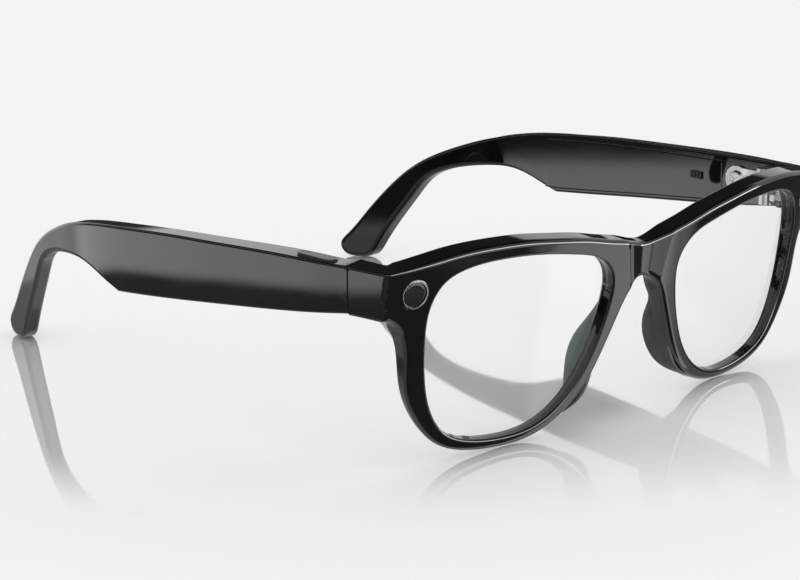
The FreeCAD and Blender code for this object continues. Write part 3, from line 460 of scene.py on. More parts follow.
def keep_inside(p, loops):
    """The points between the loops that aren't too near to one."""
    p = p[between(p, loops)]
    edge = np.concatenate(loops)
    d = np.full(len(p), 1e9)
    for i in range(0, len(edge), CHUNK):
        e = edge[i:i + CHUNK]
        d = np.minimum(d, np.sqrt(((p[:, None, :] - e[None]) ** 2).sum(-1)).min(1))
    return p[d > KEEP_OFF]


def thin(p, cell):
    """Keeps the first point in each cell."""
    _, first = np.unique(np.round(p / cell).astype(int), axis=0, return_index=True)
    return p[np.sort(first)]


def fill(build, loops, loop_ids, extra, sheet, flip):
    """Fills a sheet between the first loop and the others, with extra points, all in its own coordinates."""
    extra = keep_inside(extra, loops)
    ids = np.concatenate([*loop_ids, build.add(sheet(extra))])
    edges = []
    base = 0
    for loop in loops:
        n = len(loop)
        edges += [(base + i, base + (i + 1) % n) for i in range(n)]
        base += n
    pts = [Vector((float(a), float(b))) for a, b in np.concatenate([*loops, extra])]
    verts, _, tris, orig, _, _ = delaunay_2d_cdt(pts, edges, [], 0, 1e-6, True)
    mids = np.array([[sum(verts[i][0] for i in t) / 3, sum(verts[i][1] for i in t) / 3] for t in tris])
    for t, good in zip(tris, between(mids, loops)):
        if good and all(len(orig[i]) for i in t):
            a, b, c = (ids[orig[i][0]] for i in t)
            build.face((a, c, b) if flip else (a, b, c))


# ---------------------------------------------------------------- materials
def node(nt, kind, values=None, links=None):
    """A new shader node with numbers and colours on its sockets and links into them."""
    n = nt.nodes.new(kind)
    for key, value in (values or {}).items():
        n.inputs[key].default_value = value
    for key, source in (links or {}).items():
        nt.links.new(source, n.inputs[key])
    return n


def coords(nt):
    return node(nt, "ShaderNodeTexCoord").outputs["Object"]


def noise(nt, scale, detail=3.0):
    return node(nt, "ShaderNodeTexNoise", {"Scale": scale, "Detail": detail, "Roughness": 0.5},
                {"Vector": coords(nt)}).outputs["Fac"]


def ramp(nt, value, low, high, start=0.35, end=0.65, smooth=False):
    """Maps a value from start..end, the usual range of the noise, to low..high."""
    r = node(nt, "ShaderNodeMapRange",
             {"From Min": start, "From Max": end, "To Min": low, "To Max": high}, {"Value": value})
    if smooth:
        r.interpolation_type = "SMOOTHSTEP"
    return r.outputs["Result"]


def mix_colour(nt, value, a, b):
    m = nt.nodes.new("ShaderNodeMix")
    m.data_type = "RGBA"
    m.inputs["A"].default_value = (*a, 1)
    m.inputs["B"].default_value = (*b, 1)
    nt.links.new(value, m.inputs["Factor"])
    return m.outputs["Result"]


def mottled(name, scale, dark, light, rough_scale, rough_low, rough_high):
    """A material whose colour and roughness drift over the surface."""
    m = bpy.data.materials.new(name)
    m.use_nodes = True
    nt = m.node_tree
    bsdf = nt.nodes["Principled BSDF"]
    nt.links.new(mix_colour(nt, ramp(nt, noise(nt, scale), 0, 1), dark, light), bsdf.inputs["Base Color"])
    nt.links.new(ramp(nt, noise(nt, rough_scale), rough_low, rough_high), bsdf.inputs["Roughness"])
    return m, nt, bsdf


ROUGH_SCALE = 2.3            # the roughness drifts faster than the colour by this much
COAT_ROUGHNESS = 0.03
BUMP_DEPTH = 0.0001


def surface(name, dark, light, rough_low, rough_high, scale, metallic=0.0, bump_strength=0.0,
            bump_scale=900.0, coat=0.0):
    m, nt, bsdf = mottled(name, scale, dark, light, scale * ROUGH_SCALE, rough_low, rough_high)
    bsdf.inputs["Metallic"].default_value = metallic
    bsdf.inputs["IOR"].default_value = 1.5
    if coat:
        bsdf.inputs["Coat Weight"].default_value = coat
        bsdf.inputs["Coat Roughness"].default_value = COAT_ROUGHNESS
    if bump_strength:
        relief = node(nt, "ShaderNodeBump", {"Strength": bump_strength, "Distance": BUMP_DEPTH},
                      {"Height": noise(nt, bump_scale, 2.0)})
        nt.links.new(relief.outputs["Normal"], bsdf.inputs["Normal"])
    return m


def lens_material():
    """Clear, faintly green, with reflections as weak as the photo's."""
    m, _, bsdf = mottled("lens_clear", 30.0, (0.988, 0.997, 0.993), (0.994, 1.0, 0.997), 60.0, 0.0, 0.012)
    bsdf.inputs["Transmission Weight"].default_value = 1.0
    bsdf.inputs["IOR"].default_value = 1.32
    bsdf.inputs["Specular Tint"].default_value = (0.55, 0.95, 0.85, 1.0)
    return m


PLASTIC = surface("gloss_black_plastic", (0.003, 0.003, 0.0032), (0.0045, 0.0045, 0.0048), 0.022, 0.034, 60.0)
PAD = surface("nose_pad_rubber", (0.03, 0.03, 0.031), (0.045, 0.045, 0.047), 0.5, 0.62, 300.0,
              bump_strength=0.12, bump_scale=3000.0)
STEEL = surface("hinge_steel", (0.66, 0.66, 0.67), (0.78, 0.78, 0.79), 0.18, 0.28, 150.0, metallic=1.0,
                bump_strength=0.02, bump_scale=700.0)
LENS = lens_material()
BEZEL = surface("bezel_black_metal", (0.004, 0.004, 0.0045), (0.008, 0.008, 0.0085), 0.08, 0.14, 900.0)
# painted highlight: a grey metal on the ring's inner edge, standing in for the edge catching the light
EDGE_HIGHLIGHT_PAINT = surface("bezel_edge_painted_highlight", (0.3, 0.3, 0.3), (0.42, 0.42, 0.42), 0.25, 0.4, 900.0, metallic=1.0)
WINDOW = surface("window_dark", (0.010, 0.010, 0.011), (0.016, 0.016, 0.017), 0.05, 0.09, 500.0, coat=0.4)

# ---------------------------------------------------------------- front
EYE_X = HW - 8.9             # the seats of the camera and the indicator
EYE_Z = END_TOP - 5.1
EYE_HOLE, EYE_DEPTH = 3.3, 1.0
END_ROUND = 0.18             # rounding of the edges at the split
# and by kind of edge, on the face and on the back
FACE_ROUND = {"top": 1.05, "end": END_ROUND, "under": 0.6, "rim": 1.25}
REAR_ROUND = {"top": 0.8, "end": END_ROUND, "under": 0.6, "rim": 0.95}
TOP_END_ROUND = 0.4          # of the top's edges at the endpieces; it sets in TOP_BLEND inside HW
TOP_BLEND = 14.0
OPENING_ROUND = (0.55, 0.8)  # of the lens openings, on the face and on the back
# points on the front's face: a grid, rows across the creases with a point at each share of their distance
# from the middle, and columns round the corners
FRONT_GRID = (-S_END, 0), (S_END, 48), 1.6
ROW_FROM, ROW_TO, ROW_STEP = 24.0, 45.0, 0.45
ROW_SHARES = [*np.linspace(0.0, 0.9, 13), 0.94, 0.97, 0.985, 1.0, 1.015, 1.03, 1.06, 1.12]
ROW_CLEAR = 1.1              # how far from the creases the grid stays away
COLUMNS, COLUMN_CLEAR, COLUMN_STEP = 12, 0.6, 0.9
SAME_POINT = 0.05
EYE_POINTS = 48


def wall(build, face_pts, rear_pts, plan, lift=0.0):
    """The rounded wall between the front's two faces, its back raised by lift; returns its flat edges."""
    rings = []
    for ins, w in plan:
        f, g = inset(face_pts, ins), inset(rear_pts, ins)
        p, q = outer(*f.T), inner(*g.T)
        q[:, 2] += lift
        q[:, 1] = np.where(np.abs(g[:, 0]) < XJ, back_y(np.abs(q[:, 0]), q[:, 2]), q[:, 1])
        g[:, 1] += lift
        rings.append((f, g, build.add(p * (1 - w)[:, None] + q * w[:, None])))
    build.skin([ids for _, _, ids in rings])
    return (rings[0][0], rings[0][2]), (rings[-1][1], rings[-1][2])


def front_points(grid):
    """Points inside the front's face."""
    s, z = grid.T
    extra = [grid[(np.abs(s) > scoop_half(z) + ROW_CLEAR) | (z < ROW_FROM)]]
    for z in np.arange(ROW_FROM, ROW_TO, ROW_STEP):
        extra.append(np.array([(sign * c * scoop_half(z), z) for c in ROW_SHARES for sign in (-1, 1)]))
    for s in np.linspace(XA - COLUMN_CLEAR, S_SIDE + COLUMN_CLEAR, COLUMNS):
        extra.append(np.array([(sign * s, z) for z in np.arange(END_LOW + 0.8, END_TOP, COLUMN_STEP)
                               for sign in (-1, 1)]))
    return thin(np.concatenate(extra), SAME_POINT)


def build_front():
    b = Builder()
    face_pts, kinds = outline(False)
    rear_pts, _ = outline(True)
    near_end = np.interp(np.abs(face_pts[:, 0]), (HW - TOP_BLEND, XA), (0.0, 1.0)) * (kinds == "top")
    radii = []
    for table in (FACE_ROUND, REAR_ROUND):
        r = blur(np.array([table[kind] for kind in kinds]), 6)
        r = r * (1 - near_end) + TOP_END_ROUND * near_end
        r[kinds == "end"] = END_ROUND
        radii.append(r)
    o, i = outer(*face_pts.T), inner(*rear_pts.T)
    share = lean_share(x_of_s(face_pts[:, 0]))
    lift = LEAN * share * np.maximum(i[:, 1] - o[:, 1], 0.0) + (1.0 - share) * end_rise(rear_pts[:, 1])
    edges = [wall(b, face_pts, rear_pts, section(*radii, np.linalg.norm(i - o, axis=1)), lift)]
    seats = []
    for side in (-1, 1):
        pts = opening_loop(0.0, OPENING_COUNT, side)
        depth = T_LOW + (T_TOP - T_LOW) * pts[:, 1] / OPEN_TOP
        radii = [np.full(len(pts), r) for r in OPENING_ROUND]
        rear = pts + lens_axis(side) * depth[:, None]
        edges.append(wall(b, pts, rear, section(*radii, depth)))
        around = np.linspace(0, 2 * math.pi, EYE_POINTS, endpoint=False)
        eye = np.stack([side * EYE_X + EYE_HOLE * np.cos(around), EYE_Z + EYE_HOLE * np.sin(around)], -1)
        rim = b.add(outer(*eye.T))
        bottom = b.add(outer(*eye.T) + np.array([-side * EYE_X / R_FRONT, 1.0, LEAN]) * EYE_DEPTH)
        b.skin([rim, bottom])
        b.face(bottom)
        seats.append((eye, rim))
    grid = grid_points(*FRONT_GRID)
    face = [edges[0][0], edges[1][0], seats[0], edges[2][0], seats[1]]
    rear = [back for _, back in edges]
    for loops, points, sheet, flip in ((face, front_points(grid), outer, False), (rear, grid, inner, True)):
        fill(b, [pts for pts, _ in loops], [ids for _, ids in loops], points, lambda q: sheet(*q.T), flip)
    return b


build_front().make("front_body_gloss", "front", [PLASTIC], ("front_frame",), "frame_plastic")

# ---------------------------------------------------------------- camera and indicator
# (radius, height over the face)
RING_PROFILE = [(3.28, -0.8), (3.28, 0.06), (3.22, 0.17), (3.12, 0.22), (3.0, 0.24), (2.96, 0.25),
                (2.84, 0.25), (2.78, 0.2), (2.72, 0.05), (2.7, -0.5)]
HIGHLIGHT_STEPS = (5, 6)              # the steps of that profile that carry the painted highlight of the ring's inner edge
WINDOW_PROFILE = [(2.71, -0.12), (2.5, -0.06), (1.9, -0.03), (1.0, -0.01), (0.25, 0.0)]
TURN_POINTS = 64


def lathe(centre, axes, profile, close, bright=()):
    """A turned piece on the third axis."""
    b = Builder()
    u, v, w = axes
    around = np.linspace(0, 2 * math.pi, TURN_POINTS, endpoint=False)[:, None]
    rings = [b.add(centre + r * np.cos(around) * u + r * np.sin(around) * v + h * w) for r, h in profile]
    b.skin(rings, bright)
    if close:
        b.face(rings[-1])
    return b


for side, eye in ((1, "camera"), (-1, "indicator")):
    centre = outer(np.array([side * EYE_X]), np.array([EYE_Z]))[0]
    ahead = Vector((side * EYE_X / R_FRONT, -1.0, -LEAN)).normalized()
    across = Vector((0, 0, 1)).cross(ahead).normalized()
    axes = [np.array(a) for a in (across, ahead.cross(across), ahead)]
    # the ring's second finish is the painted highlight on its inner edge
    lathe(centre, axes, RING_PROFILE, False, HIGHLIGHT_STEPS).make(
        eye + "_ring_gloss", "front", [BEZEL, EDGE_HIGHLIGHT_PAINT], (eye + "_bezel_ring",), "bezel")
    lathe(centre, axes, WINDOW_PROFILE, True).make(
        eye + "_window_gloss", "front", [WINDOW], (eye + "_window",), "dark_window")

# ---------------------------------------------------------------- lenses
LENS_DEPTHS = (1.6, 3.1)     # of a lens's two faces behind the front's face
LENS_EDGE = 0.35             # how far its edge reaches into the rim
LENS_COUNT = 161
LENS_GRID = (-64, 0), (64, 48), 3.0


def build_lens(side):
    b = Builder()
    pts = opening_loop(LENS_EDGE, LENS_COUNT, side)
    grid = grid_points(*LENS_GRID)
    faces = []
    for depth in LENS_DEPTHS:
        loop = pts + lens_axis(side) * depth
        sheet = lambda q, d=depth: np.stack(
            [q[:, 0], front_y(*q.T) + d * (1 + LEAN * LEAN) ** 0.5, q[:, 1]], -1)
        faces.append((loop, b.add(sheet(loop)), sheet))
    b.skin([ids for _, ids, _ in faces])
    for k, (loop, ids, sheet) in enumerate(faces):
        fill(b, [loop], [ids], grid, sheet, bool(k))
    return b


for side, word in ((1, "left"), (-1, "right")):
    build_lens(side).make(word + "_lens_clear", "front", [LENS], (word + "_lens",), "lens_glass")

# ---------------------------------------------------------------- nose pads
# share of the height, the pad's middle in x and y, half length and half width of its oval
PAD_SHAPE = [
    (0.00, 20.6, 2.0, 1.3, 0.8), (0.115, 16.0, 2.5, 2.9, 1.4), (0.345, 13.2, 3.2, 3.9, 1.7),
    (0.575, 11.8, 2.4, 3.6, 1.6), (0.77, 10.1, 0.9, 2.1, 1.4), (0.87, 8.2, 0.4, 1.8, 1.4),
    (1.00, 5.9, -0.3, 1.4, 1.3),
]
PAD_HEIGHT, PAD_FOOT, PAD_REACH = 26.0, 4.5, 7.1
PAD_TURN = 6.0               # degrees that the ovals open outward to the back
PAD_TIP = 0.25               # bulge of the two ends
PAD_ROWS = PAD_ROUND = 40


def build_pad(side):
    b = Builder()
    rear = max(y + a * math.cos(math.radians(PAD_TURN)) for _, _, y, a, _ in PAD_SHAPE)
    shift = PAD_REACH - rear
    rows = sample([(x, y, a, w, level * PAD_HEIGHT) for level, x, y, a, w in PAD_SHAPE], PAD_ROWS)
    turn = math.radians(90.0 - PAD_TURN)
    around = np.linspace(0, 2 * math.pi, PAD_ROUND, endpoint=False)
    rings = []
    for x, y, a, w, h in rows:
        u, v = a * np.cos(around), w * np.sin(around)
        px = x + u * math.cos(turn) - v * math.sin(turn)
        py = y + shift + u * math.sin(turn) + v * math.cos(turn)
        rings.append(b.add(np.stack([side * px, py, np.full(PAD_ROUND, PAD_FOOT + h)], -1)))
    b.skin(rings)
    for end, out in ((0, -1), (-1, 1)):
        x, y, _, _, h = rows[end]
        tip = b.add([[side * x, y + shift, PAD_FOOT + h + out * PAD_TIP]])[0]
        for i0, i1 in zip(rings[end], np.roll(rings[end], -1)):
            b.face((i0, i1, tip))
    return b


for side, word in ((1, "left"), (-1, "right")):
    build_pad(side).make(word + "_nose_pad_soft", "front", [PAD], (word + "_nose_pad",), "nose_pad", 60.0)

# ---------------------------------------------------------------- temples
LENGTH = 139.3               # along y, from the split to the tip
T_END = 6.1                  # thickness that PLAN's shares are of
MIDDLE = 36.0                # height about which the outer face is twisted
# lines of the side view: share of LENGTH behind the split, share of END_TOP
TOP_LINE = [
    (0.0, 1.0), (0.12, 0.995), (0.28, 0.975), (0.39, 0.958), (0.50, 0.932), (0.61, 0.895), (0.69, 0.840),
    (0.75, 0.776), (0.80, 0.708), (0.846, 0.620), (0.896, 0.475), (0.945, 0.295), (0.985, 0.145),
]
TIP_LINE = [(1.0, 0.070), (0.992, 0.020), (0.965, 0.0), (0.935, 0.018), (0.919, 0.085)]
HOOK_LINE = [
    (0.878, 0.285), (0.845, 0.430), (0.81, 0.560), (0.775, 0.618), (0.73, 0.657), (0.675, 0.682),
    (0.645, 0.686), (0.60, 0.664), (0.56, 0.622), (0.523, 0.585),
]
POD = [(0.523, 0.585), (0.447, 0.608), (0.264, 0.671), (0.12, 0.7226), (0.0, 0.775)]
# share of LENGTH, millimetres of the outer face beyond HW, thickness in T_ENDs
PLAN = [
    (-0.04, -1.65, 0.72), (0.0, -1.2, 0.8), (0.045, -0.35, 0.92), (0.12, 0.35, 1.0), (0.336, 1.5, 0.86),
    (0.444, 1.6, 0.82), (0.551, 1.2, 0.75), (0.645, -0.4, 0.69), (0.731, -3.6, 0.67), (0.80, -6.4, 0.69),
    (0.874, -9.6, 0.75), (1.03, -15.9, 0.86),
]
# the pairs below give y and the value there
CROWN = 0.0002               # of the outer face, round the height CROWN_MIDDLE, times CROWN_FADE
CROWN_MIDDLE = (SPLIT, 60.0, 110.0), (40.5, 36.0, 36.0)
CROWN_FADE = (90.0, 125.0), (1.0, 0.0)
TWIST = ((20.0, 35.0, 49.0, 64.0, 80.0, 97.0, 109.0, 118.0, 150.0),   # per millimetre of height
         (0.0, 0.0016, 0.0036, 0.0050, 0.0072, 0.0094, 0.0130, 0.0150, 0.0100))
TEMPLE_ROUND = (95.0, 120.0), (0.4, 0.95)   # rounding of the edges
# by side, the y at which the top's raised inner edge has sunk to level, and the run over which it sinks
SINK = {1: (105.0, 30.0), -1: (18.5, 5.3)}
LEVEL_Y = 19.0               # up to here the top counts as level with the endpiece's
OVER_COUNT, UNDER_COUNT = 460, 110
TEMPLE_GRID = (12, 0), (155, 48), 2.0


def temple_face(inward):
    """x of a face of the temple as a function of y."""
    line = sample([(HW + o - inward * t, SPLIT + a * LENGTH) for a, o, t in PLAN], 400)
    return lambda y: np.interp(y, line[:, 1], line[:, 0])


X_OUT, X_IN = temple_face(0.0), temple_face(T_END)


def side_view(shares):
    """(y, z) of points given as shares."""
    return [(SPLIT + a * LENGTH, h * END_TOP) for a, h in shares]


TOP_RUN = sample(side_view(TOP_LINE), 200)


def outer_face(y, z):
    """x of the temple's slightly crowned and twisted outer face."""
    crown = CROWN * np.interp(y, *CROWN_FADE) * (z - np.interp(y, *CROWN_MIDDLE)) ** 2
    return X_OUT(y) - crown + np.interp(y, *TWIST) * (z - MIDDLE)


def temple_outline():
    """(y, z) points, clockwise with y to the right, and which of them lie on the edge at the split."""
    over = sample(side_view(TOP_LINE + TIP_LINE + HOOK_LINE), OVER_COUNT)
    under = sample(side_view(POD), UNDER_COUNT)
    at_split = np.stack([np.full(12, SPLIT), np.linspace(under[-1, 1], over[0, 1], 12)], -1)[1:-1]
    pts = np.concatenate([over, under[1:], at_split])
    return pts, np.arange(len(pts)) >= len(pts) - len(at_split)


def build_temple(side):
    b = Builder()
    pts, at_split = temple_outline()
    r = blur(np.where(at_split, END_ROUND, np.interp(pts[:, 0], *TEMPLE_ROUND)), 3)
    r[at_split] = END_ROUND
    sink_y, sink_run = SINK[side]
    rings = []
    for k, (ins, w) in enumerate(section(r, r, np.ones(len(r)))):
        q = inset(pts, ins)
        if k <= STEPS + 1:
            x = outer_face(*q.T) - w
        else:
            x = X_IN(q[:, 0]) - (w - 1.0)
            fall = END_TOP - np.interp(q[:, 0], *TOP_RUN.T)
            height = q[:, 1] + (q[:, 0] > LEVEL_Y) * fall
            q[:, 1] += end_rise(height) * smoothstep((sink_y - q[:, 0]) / sink_run)
        rings.append((q, b.add(np.stack([side * x, q[:, 0], q[:, 1]], -1))))
    b.skin([ids for _, ids in rings])
    grid = grid_points(*TEMPLE_GRID)
    faces = ((rings[0], outer_face, False), (rings[-1], lambda y, z: X_IN(y), True))
    for (loop, ids), face, flip in faces:
        fill(b, [loop], [ids], grid,
             lambda q: np.stack([side * face(*q.T), q[:, 0], q[:, 1]], -1), flip)
    return b


for side, word in ((1, "left"), (-1, "right")):
    build_temple(side).make(word + "_temple_gloss", word + "_temple", [PLASTIC], (word + "_temple_shell",),
                            "frame_plastic")

# ---------------------------------------------------------------- inner covers and the brow's cover
# (behind the split) where a temple's cover starts and ends, and its distance from the temple's edges
COVER_FROM, COVER_TO, COVER_MARGIN = 15.5, 76.5, 0.9
COVER_PROUD, COVER_ROUND = 0.05, 0.15
BROW_COVER_END = EYE_X - 3.4
BROW_COVER_MARGIN, BROW_COVER_WIDTH = 1.0, 1.6
BROW_COVER_PROUD, BROW_COVER_ROUND = 0.05, 0.12
PLATE_SINK = 0.3             # depth of a plate's edge under the sheet
PLATE_STEP = 2.0


def build_plate(loop, sheet, proud, edge):
    """A thin plate on a sheet, with a rounded edge, filled on its outer side."""
    b = Builder()
    loop = np.asarray(loop)
    rings = []
    for ins, height in ((0.0, -PLATE_SINK), (0.0, proud - edge), (edge * 0.3, proud - edge * 0.3),
                        (edge, proud), (edge + SUPPORT, proud)):
        q = inset(loop, np.full(len(loop), ins))
        rings.append(b.add(sheet(q, height)))
    b.skin(rings)
    grid = grid_points(loop.min(0), loop.max(0), PLATE_STEP)
    fill(b, [q], [rings[-1]], grid, lambda p: sheet(p, proud), False)
    return b


def build_cover(side):
    """The long inner cover of a temple, a hair proud of the plastic round it."""
    over = sample(side_view(TOP_LINE[:8]), 300)
    under = sample(side_view(POD), 200)[::-1]
    y0, y1 = SPLIT + COVER_FROM, SPLIT + COVER_TO
    ys = np.linspace(y0, y1, 60)
    top = np.interp(ys, over[:, 0], over[:, 1]) - COVER_MARGIN
    low = np.interp(ys, under[:, 0], under[:, 1]) + COVER_MARGIN
    loop = list(zip(ys, top)) + [(y1, z) for z in np.linspace(top[-1], low[-1], 14)[1:-1]]
    loop += list(zip(ys[::-1], low[::-1])) + [(y0, z) for z in np.linspace(low[0], top[0], 14)[1:-1]]
    sheet = lambda q, h: np.stack([side * (X_IN(q[:, 0]) - h), q[:, 0], q[:, 1]], -1)
    return build_plate(loop, sheet, COVER_PROUD, COVER_ROUND)


def build_brow_cover():
    """The strip that closes the cable channel in the brow's back."""
    over = sample([(HW * a, OPEN_TOP + BROW_W * b) for a, b in BROW], 400)
    xs = np.linspace(-BROW_COVER_END, BROW_COVER_END, 150)
    top = np.interp(np.abs(xs), over[:, 0], over[:, 1]) - BROW_COVER_MARGIN
    loop = list(zip(xs, top)) + list(zip(xs[::-1], top[::-1] - BROW_COVER_WIDTH))
    sheet = lambda q, h: inner(*q.T) + np.array([0.0, h, 0.0])
    return build_plate(loop, sheet, BROW_COVER_PROUD, BROW_COVER_ROUND)


for side, word in ((1, "left"), (-1, "right")):
    build_cover(side).make(word + "_cover_gloss", word + "_temple", [PLASTIC],
                           (word + "_temple_inner_cover",), "frame_plastic")
build_brow_cover().make("brow_cover_gloss", "front", [PLASTIC], ("brow_cover",), "frame_plastic")

# ---------------------------------------------------------------- materials of the CAD nodes
BY_SLOT = {
    "frame_plastic": PLASTIC, "nose_pad": PAD, "lens_glass": LENS, "hinge_steel": STEEL,
    "bezel": BEZEL, "dark_window": WINDOW,
    "clear_plastic": surface("guide_milky", (0.62, 0.63, 0.62), (0.72, 0.73, 0.72), 0.25, 0.4, 600.0),
    "camera_metal": surface("camera_black_metal", (0.03, 0.03, 0.032), (0.05, 0.05, 0.053), 0.3, 0.42, 900.0,
                            metallic=0.8),
    "circuit_board": surface("board_green", (0.004, 0.03, 0.012), (0.01, 0.055, 0.022), 0.35, 0.5, 1500.0),
    "flex_film": surface("film_amber", (0.32, 0.13, 0.02), (0.45, 0.2, 0.04), 0.3, 0.45, 900.0),
    "shield_metal": surface("shield_tin", (0.5, 0.5, 0.49), (0.66, 0.66, 0.65), 0.3, 0.45, 900.0,
                            metallic=1.0, bump_strength=0.06, bump_scale=2500.0),
    "contact_metal": surface("contact_gold", (0.72, 0.5, 0.2), (0.86, 0.64, 0.3), 0.2, 0.32, 900.0,
                             metallic=1.0),
    "speaker_case": surface("speaker_case", (0.02, 0.02, 0.021), (0.04, 0.04, 0.042), 0.4, 0.55, 900.0,
                            bump_strength=0.1, bump_scale=3000.0),
    "mesh_steel": surface("mesh_steel", (0.1, 0.1, 0.105), (0.24, 0.24, 0.245), 0.3, 0.45, 4000.0,
                          metallic=1.0, bump_strength=0.6, bump_scale=9000.0),
    "switch_plastic": surface("switch_satin", (0.012, 0.012, 0.013), (0.02, 0.02, 0.021), 0.25, 0.35, 700.0,
                              bump_strength=0.08, bump_scale=4000.0),
    "button_plastic": surface("button_satin", (0.012, 0.012, 0.013), (0.02, 0.02, 0.021), 0.2, 0.3, 700.0,
                              bump_strength=0.06, bump_scale=4000.0),
    "battery_foil": surface("battery_foil", (0.6, 0.6, 0.61), (0.78, 0.78, 0.79), 0.25, 0.42, 500.0,
                            metallic=1.0, bump_strength=0.25, bump_scale=900.0),
}
SLOT_OF = {item["node"]: item["material_slot"] for item in frame["record"]["subparts"]}
for name, obj in NODES.items():
    finish = BY_SLOT[SLOT_OF[name]]
    for s in obj.material_slots:
        s.material = finish
    if not obj.material_slots:
        obj.data.materials.append(finish)

# ---------------------------------------------------------------- floor and light
VIEW_AZ = -44.0287           # azimuth of the photo's camera, in degrees
FLOOR_HALF, FLOOR_GAP = 3.0, 0.0001
# The floor's mirror gloss sets in between FADE_FROM and FADE_TO, metres along the photo's line of sight
# with the frame's middle at 0. It grows BEHIND_GAIN times from BEHIND millimetres before the front's foot
# to as far behind it, and ends between MIRROR_FROM and MIRROR_TO, metres from the middle.
FADE_FROM, FADE_TO = -0.12188, -0.07188
BEHIND, BEHIND_GAIN = 9.0, 2.6
MIRROR_FROM, MIRROR_TO = 0.17, 0.28
FLOOR_DARK, FLOOR_LIGHT = (0.9, 0.9, 0.9), (0.908, 0.908, 0.908)
FLOOR_MIRROR = (0.925, 0.925, 0.925, 1)
BACKDROP_COLOUR = (0.89, 0.89, 0.89, 1)
DOME_RADIUS, BACKDROP_RADIUS = 14.0, 4.5
# runs of elevation and their steps: finest at the floor's edge, where the temple's reflection turns dark
DOME_RINGS = [(-90, -30, 2.0), (-30, -16, 0.25), (-16, -10, 0.0625), (-10, -8, 0.25), (-8, 91, 1.0)]
ROOM = 0.97                  # brightness where there is no panel
# Soft boxes and black flags round the glasses, seen in reflections only: from and to azimuth and
# elevation in degrees, brightness, width of the soft edge, and where it differs that of the edges in
# azimuth. Azimuth 0 looks out along -Y, 90 along +X. A later panel covers the ones before it.
PANELS = [
    # from behind round to the photo's near side
    (-215, -88, -60, -14.62, 0.22, 0.4), (-178, -88, -60, -24, 0.66, 4.0),
    (-230, -169, -60, -14.62, 0.4, 0.4, 12.0), (-230, -88, -14.62, -11.7, 0.9, 0.4),
    (-166, -88, -14.62, -11.7, 2.25, 0.4, 14.0), (-230, -160, -11.7, 12, 1.0, 1.0, 12.0),
    (-163, -88, -11.45, 8, 0.1, 0.5, 12.0),
    (-112, -82, -13.3, 8, 0.06, 0.5, 6.0), (-112, -82, -16, -13.3, 0.8, 0.5, 6.0),
    # round the photo's line of sight and ahead
    (-88, 0, -27, 0, 0.3, 1.0), (-82, 12, -17, -12.5, 0.1, 0.4, 2.0),
    (-70, 40, -60, -27, 0.13, 1.5), (0, 37, -27, -23.5, 0.13, 1.0), (12, 36, -23.5, -10, 1.9, 1.0),
    # the far side
    (40, 58, -60, -12, 2.1, 2.0), (61, 84, -24, -8, 0.1, 1.5), (84, 112, -30, -5, 0.75, 4.0),
    (61, 84, -60, -24, 0.6, 3.0), (5, 64, -8, 4.5, 14.0, 1.5), (48, 64, -10, -7, 0.05, 1.0),
    # above the horizon
    (-20, 118, 37, 85, 0.03, 2.0), (118, 152, 21, 60, 0.04, 1.0), (118, 152, -8, 6.5, 0.05, 1.0),
    (-208, -88, 27, 62, 0.05, 2.0), (-180, 180, 60, 95, 0.04, 4.0),
]


def times(nt, a, b):
    """The product of two values."""
    product = node(nt, "ShaderNodeMath", links={0: a, 1: b})
    product.operation = "MULTIPLY"
    return product.outputs["Value"]


def stage_material(name):
    """A material with nothing but its output."""
    m = bpy.data.materials.new(name)
    m.use_nodes = True
    m.node_tree.nodes.remove(m.node_tree.nodes["Principled BSDF"])
    return m, m.node_tree, m.node_tree.nodes["Material Output"].inputs["Surface"]


def light_material(name):
    """A material that glows, and lights nothing by itself."""
    m, nt, out = stage_material(name)
    light = node(nt, "ShaderNodeEmission")
    nt.links.new(light.outputs["Emission"], out)
    m.cycles.emission_sampling = "NONE"
    return m, nt, light


def floor_material():
    """Pale floor that mirrors the glasses round their feet and turns matt towards the photo's camera."""
    m, nt, out = stage_material("floor_pale")
    pale = mix_colour(nt, ramp(nt, noise(nt, 3.0), 0, 1), FLOOR_DARK, FLOOR_LIGHT)
    matt = node(nt, "ShaderNodeBsdfDiffuse", links={"Color": pale})
    gloss = node(nt, "ShaderNodeBsdfGlossy", {"Roughness": 0.04, "Color": FLOOR_MIRROR})
    fresnel = node(nt, "ShaderNodeFresnel", {"IOR": 1.5})
    turn = math.radians(VIEW_AZ)
    along = node(nt, "ShaderNodeVectorMath", {1: (-math.sin(turn), math.cos(turn), 0.0)}, {0: coords(nt)})
    along.operation = "DOT_PRODUCT"
    fade = ramp(nt, along.outputs["Value"], 0.0, 1.0, FADE_FROM, FADE_TO, smooth=True)
    y = node(nt, "ShaderNodeSeparateXYZ", links={0: coords(nt)}).outputs["Y"]
    behind = ramp(nt, y, 1.0, BEHIND_GAIN, (SHIFT_Y - BEHIND) * MM, (SHIFT_Y + BEHIND) * MM, smooth=True)
    middle = node(nt, "ShaderNodeVectorMath", links={0: coords(nt)})
    middle.operation = "LENGTH"
    near = ramp(nt, middle.outputs["Value"], 1.0, 0.0, MIRROR_FROM, MIRROR_TO, smooth=True)
    share = times(nt, times(nt, fresnel.outputs["Fac"], times(nt, fade, behind)), near)
    both = node(nt, "ShaderNodeMixShader",
                links={"Fac": share, 1: matt.outputs["BSDF"], 2: gloss.outputs["BSDF"]})
    nt.links.new(both.outputs["Shader"], out)
    return m


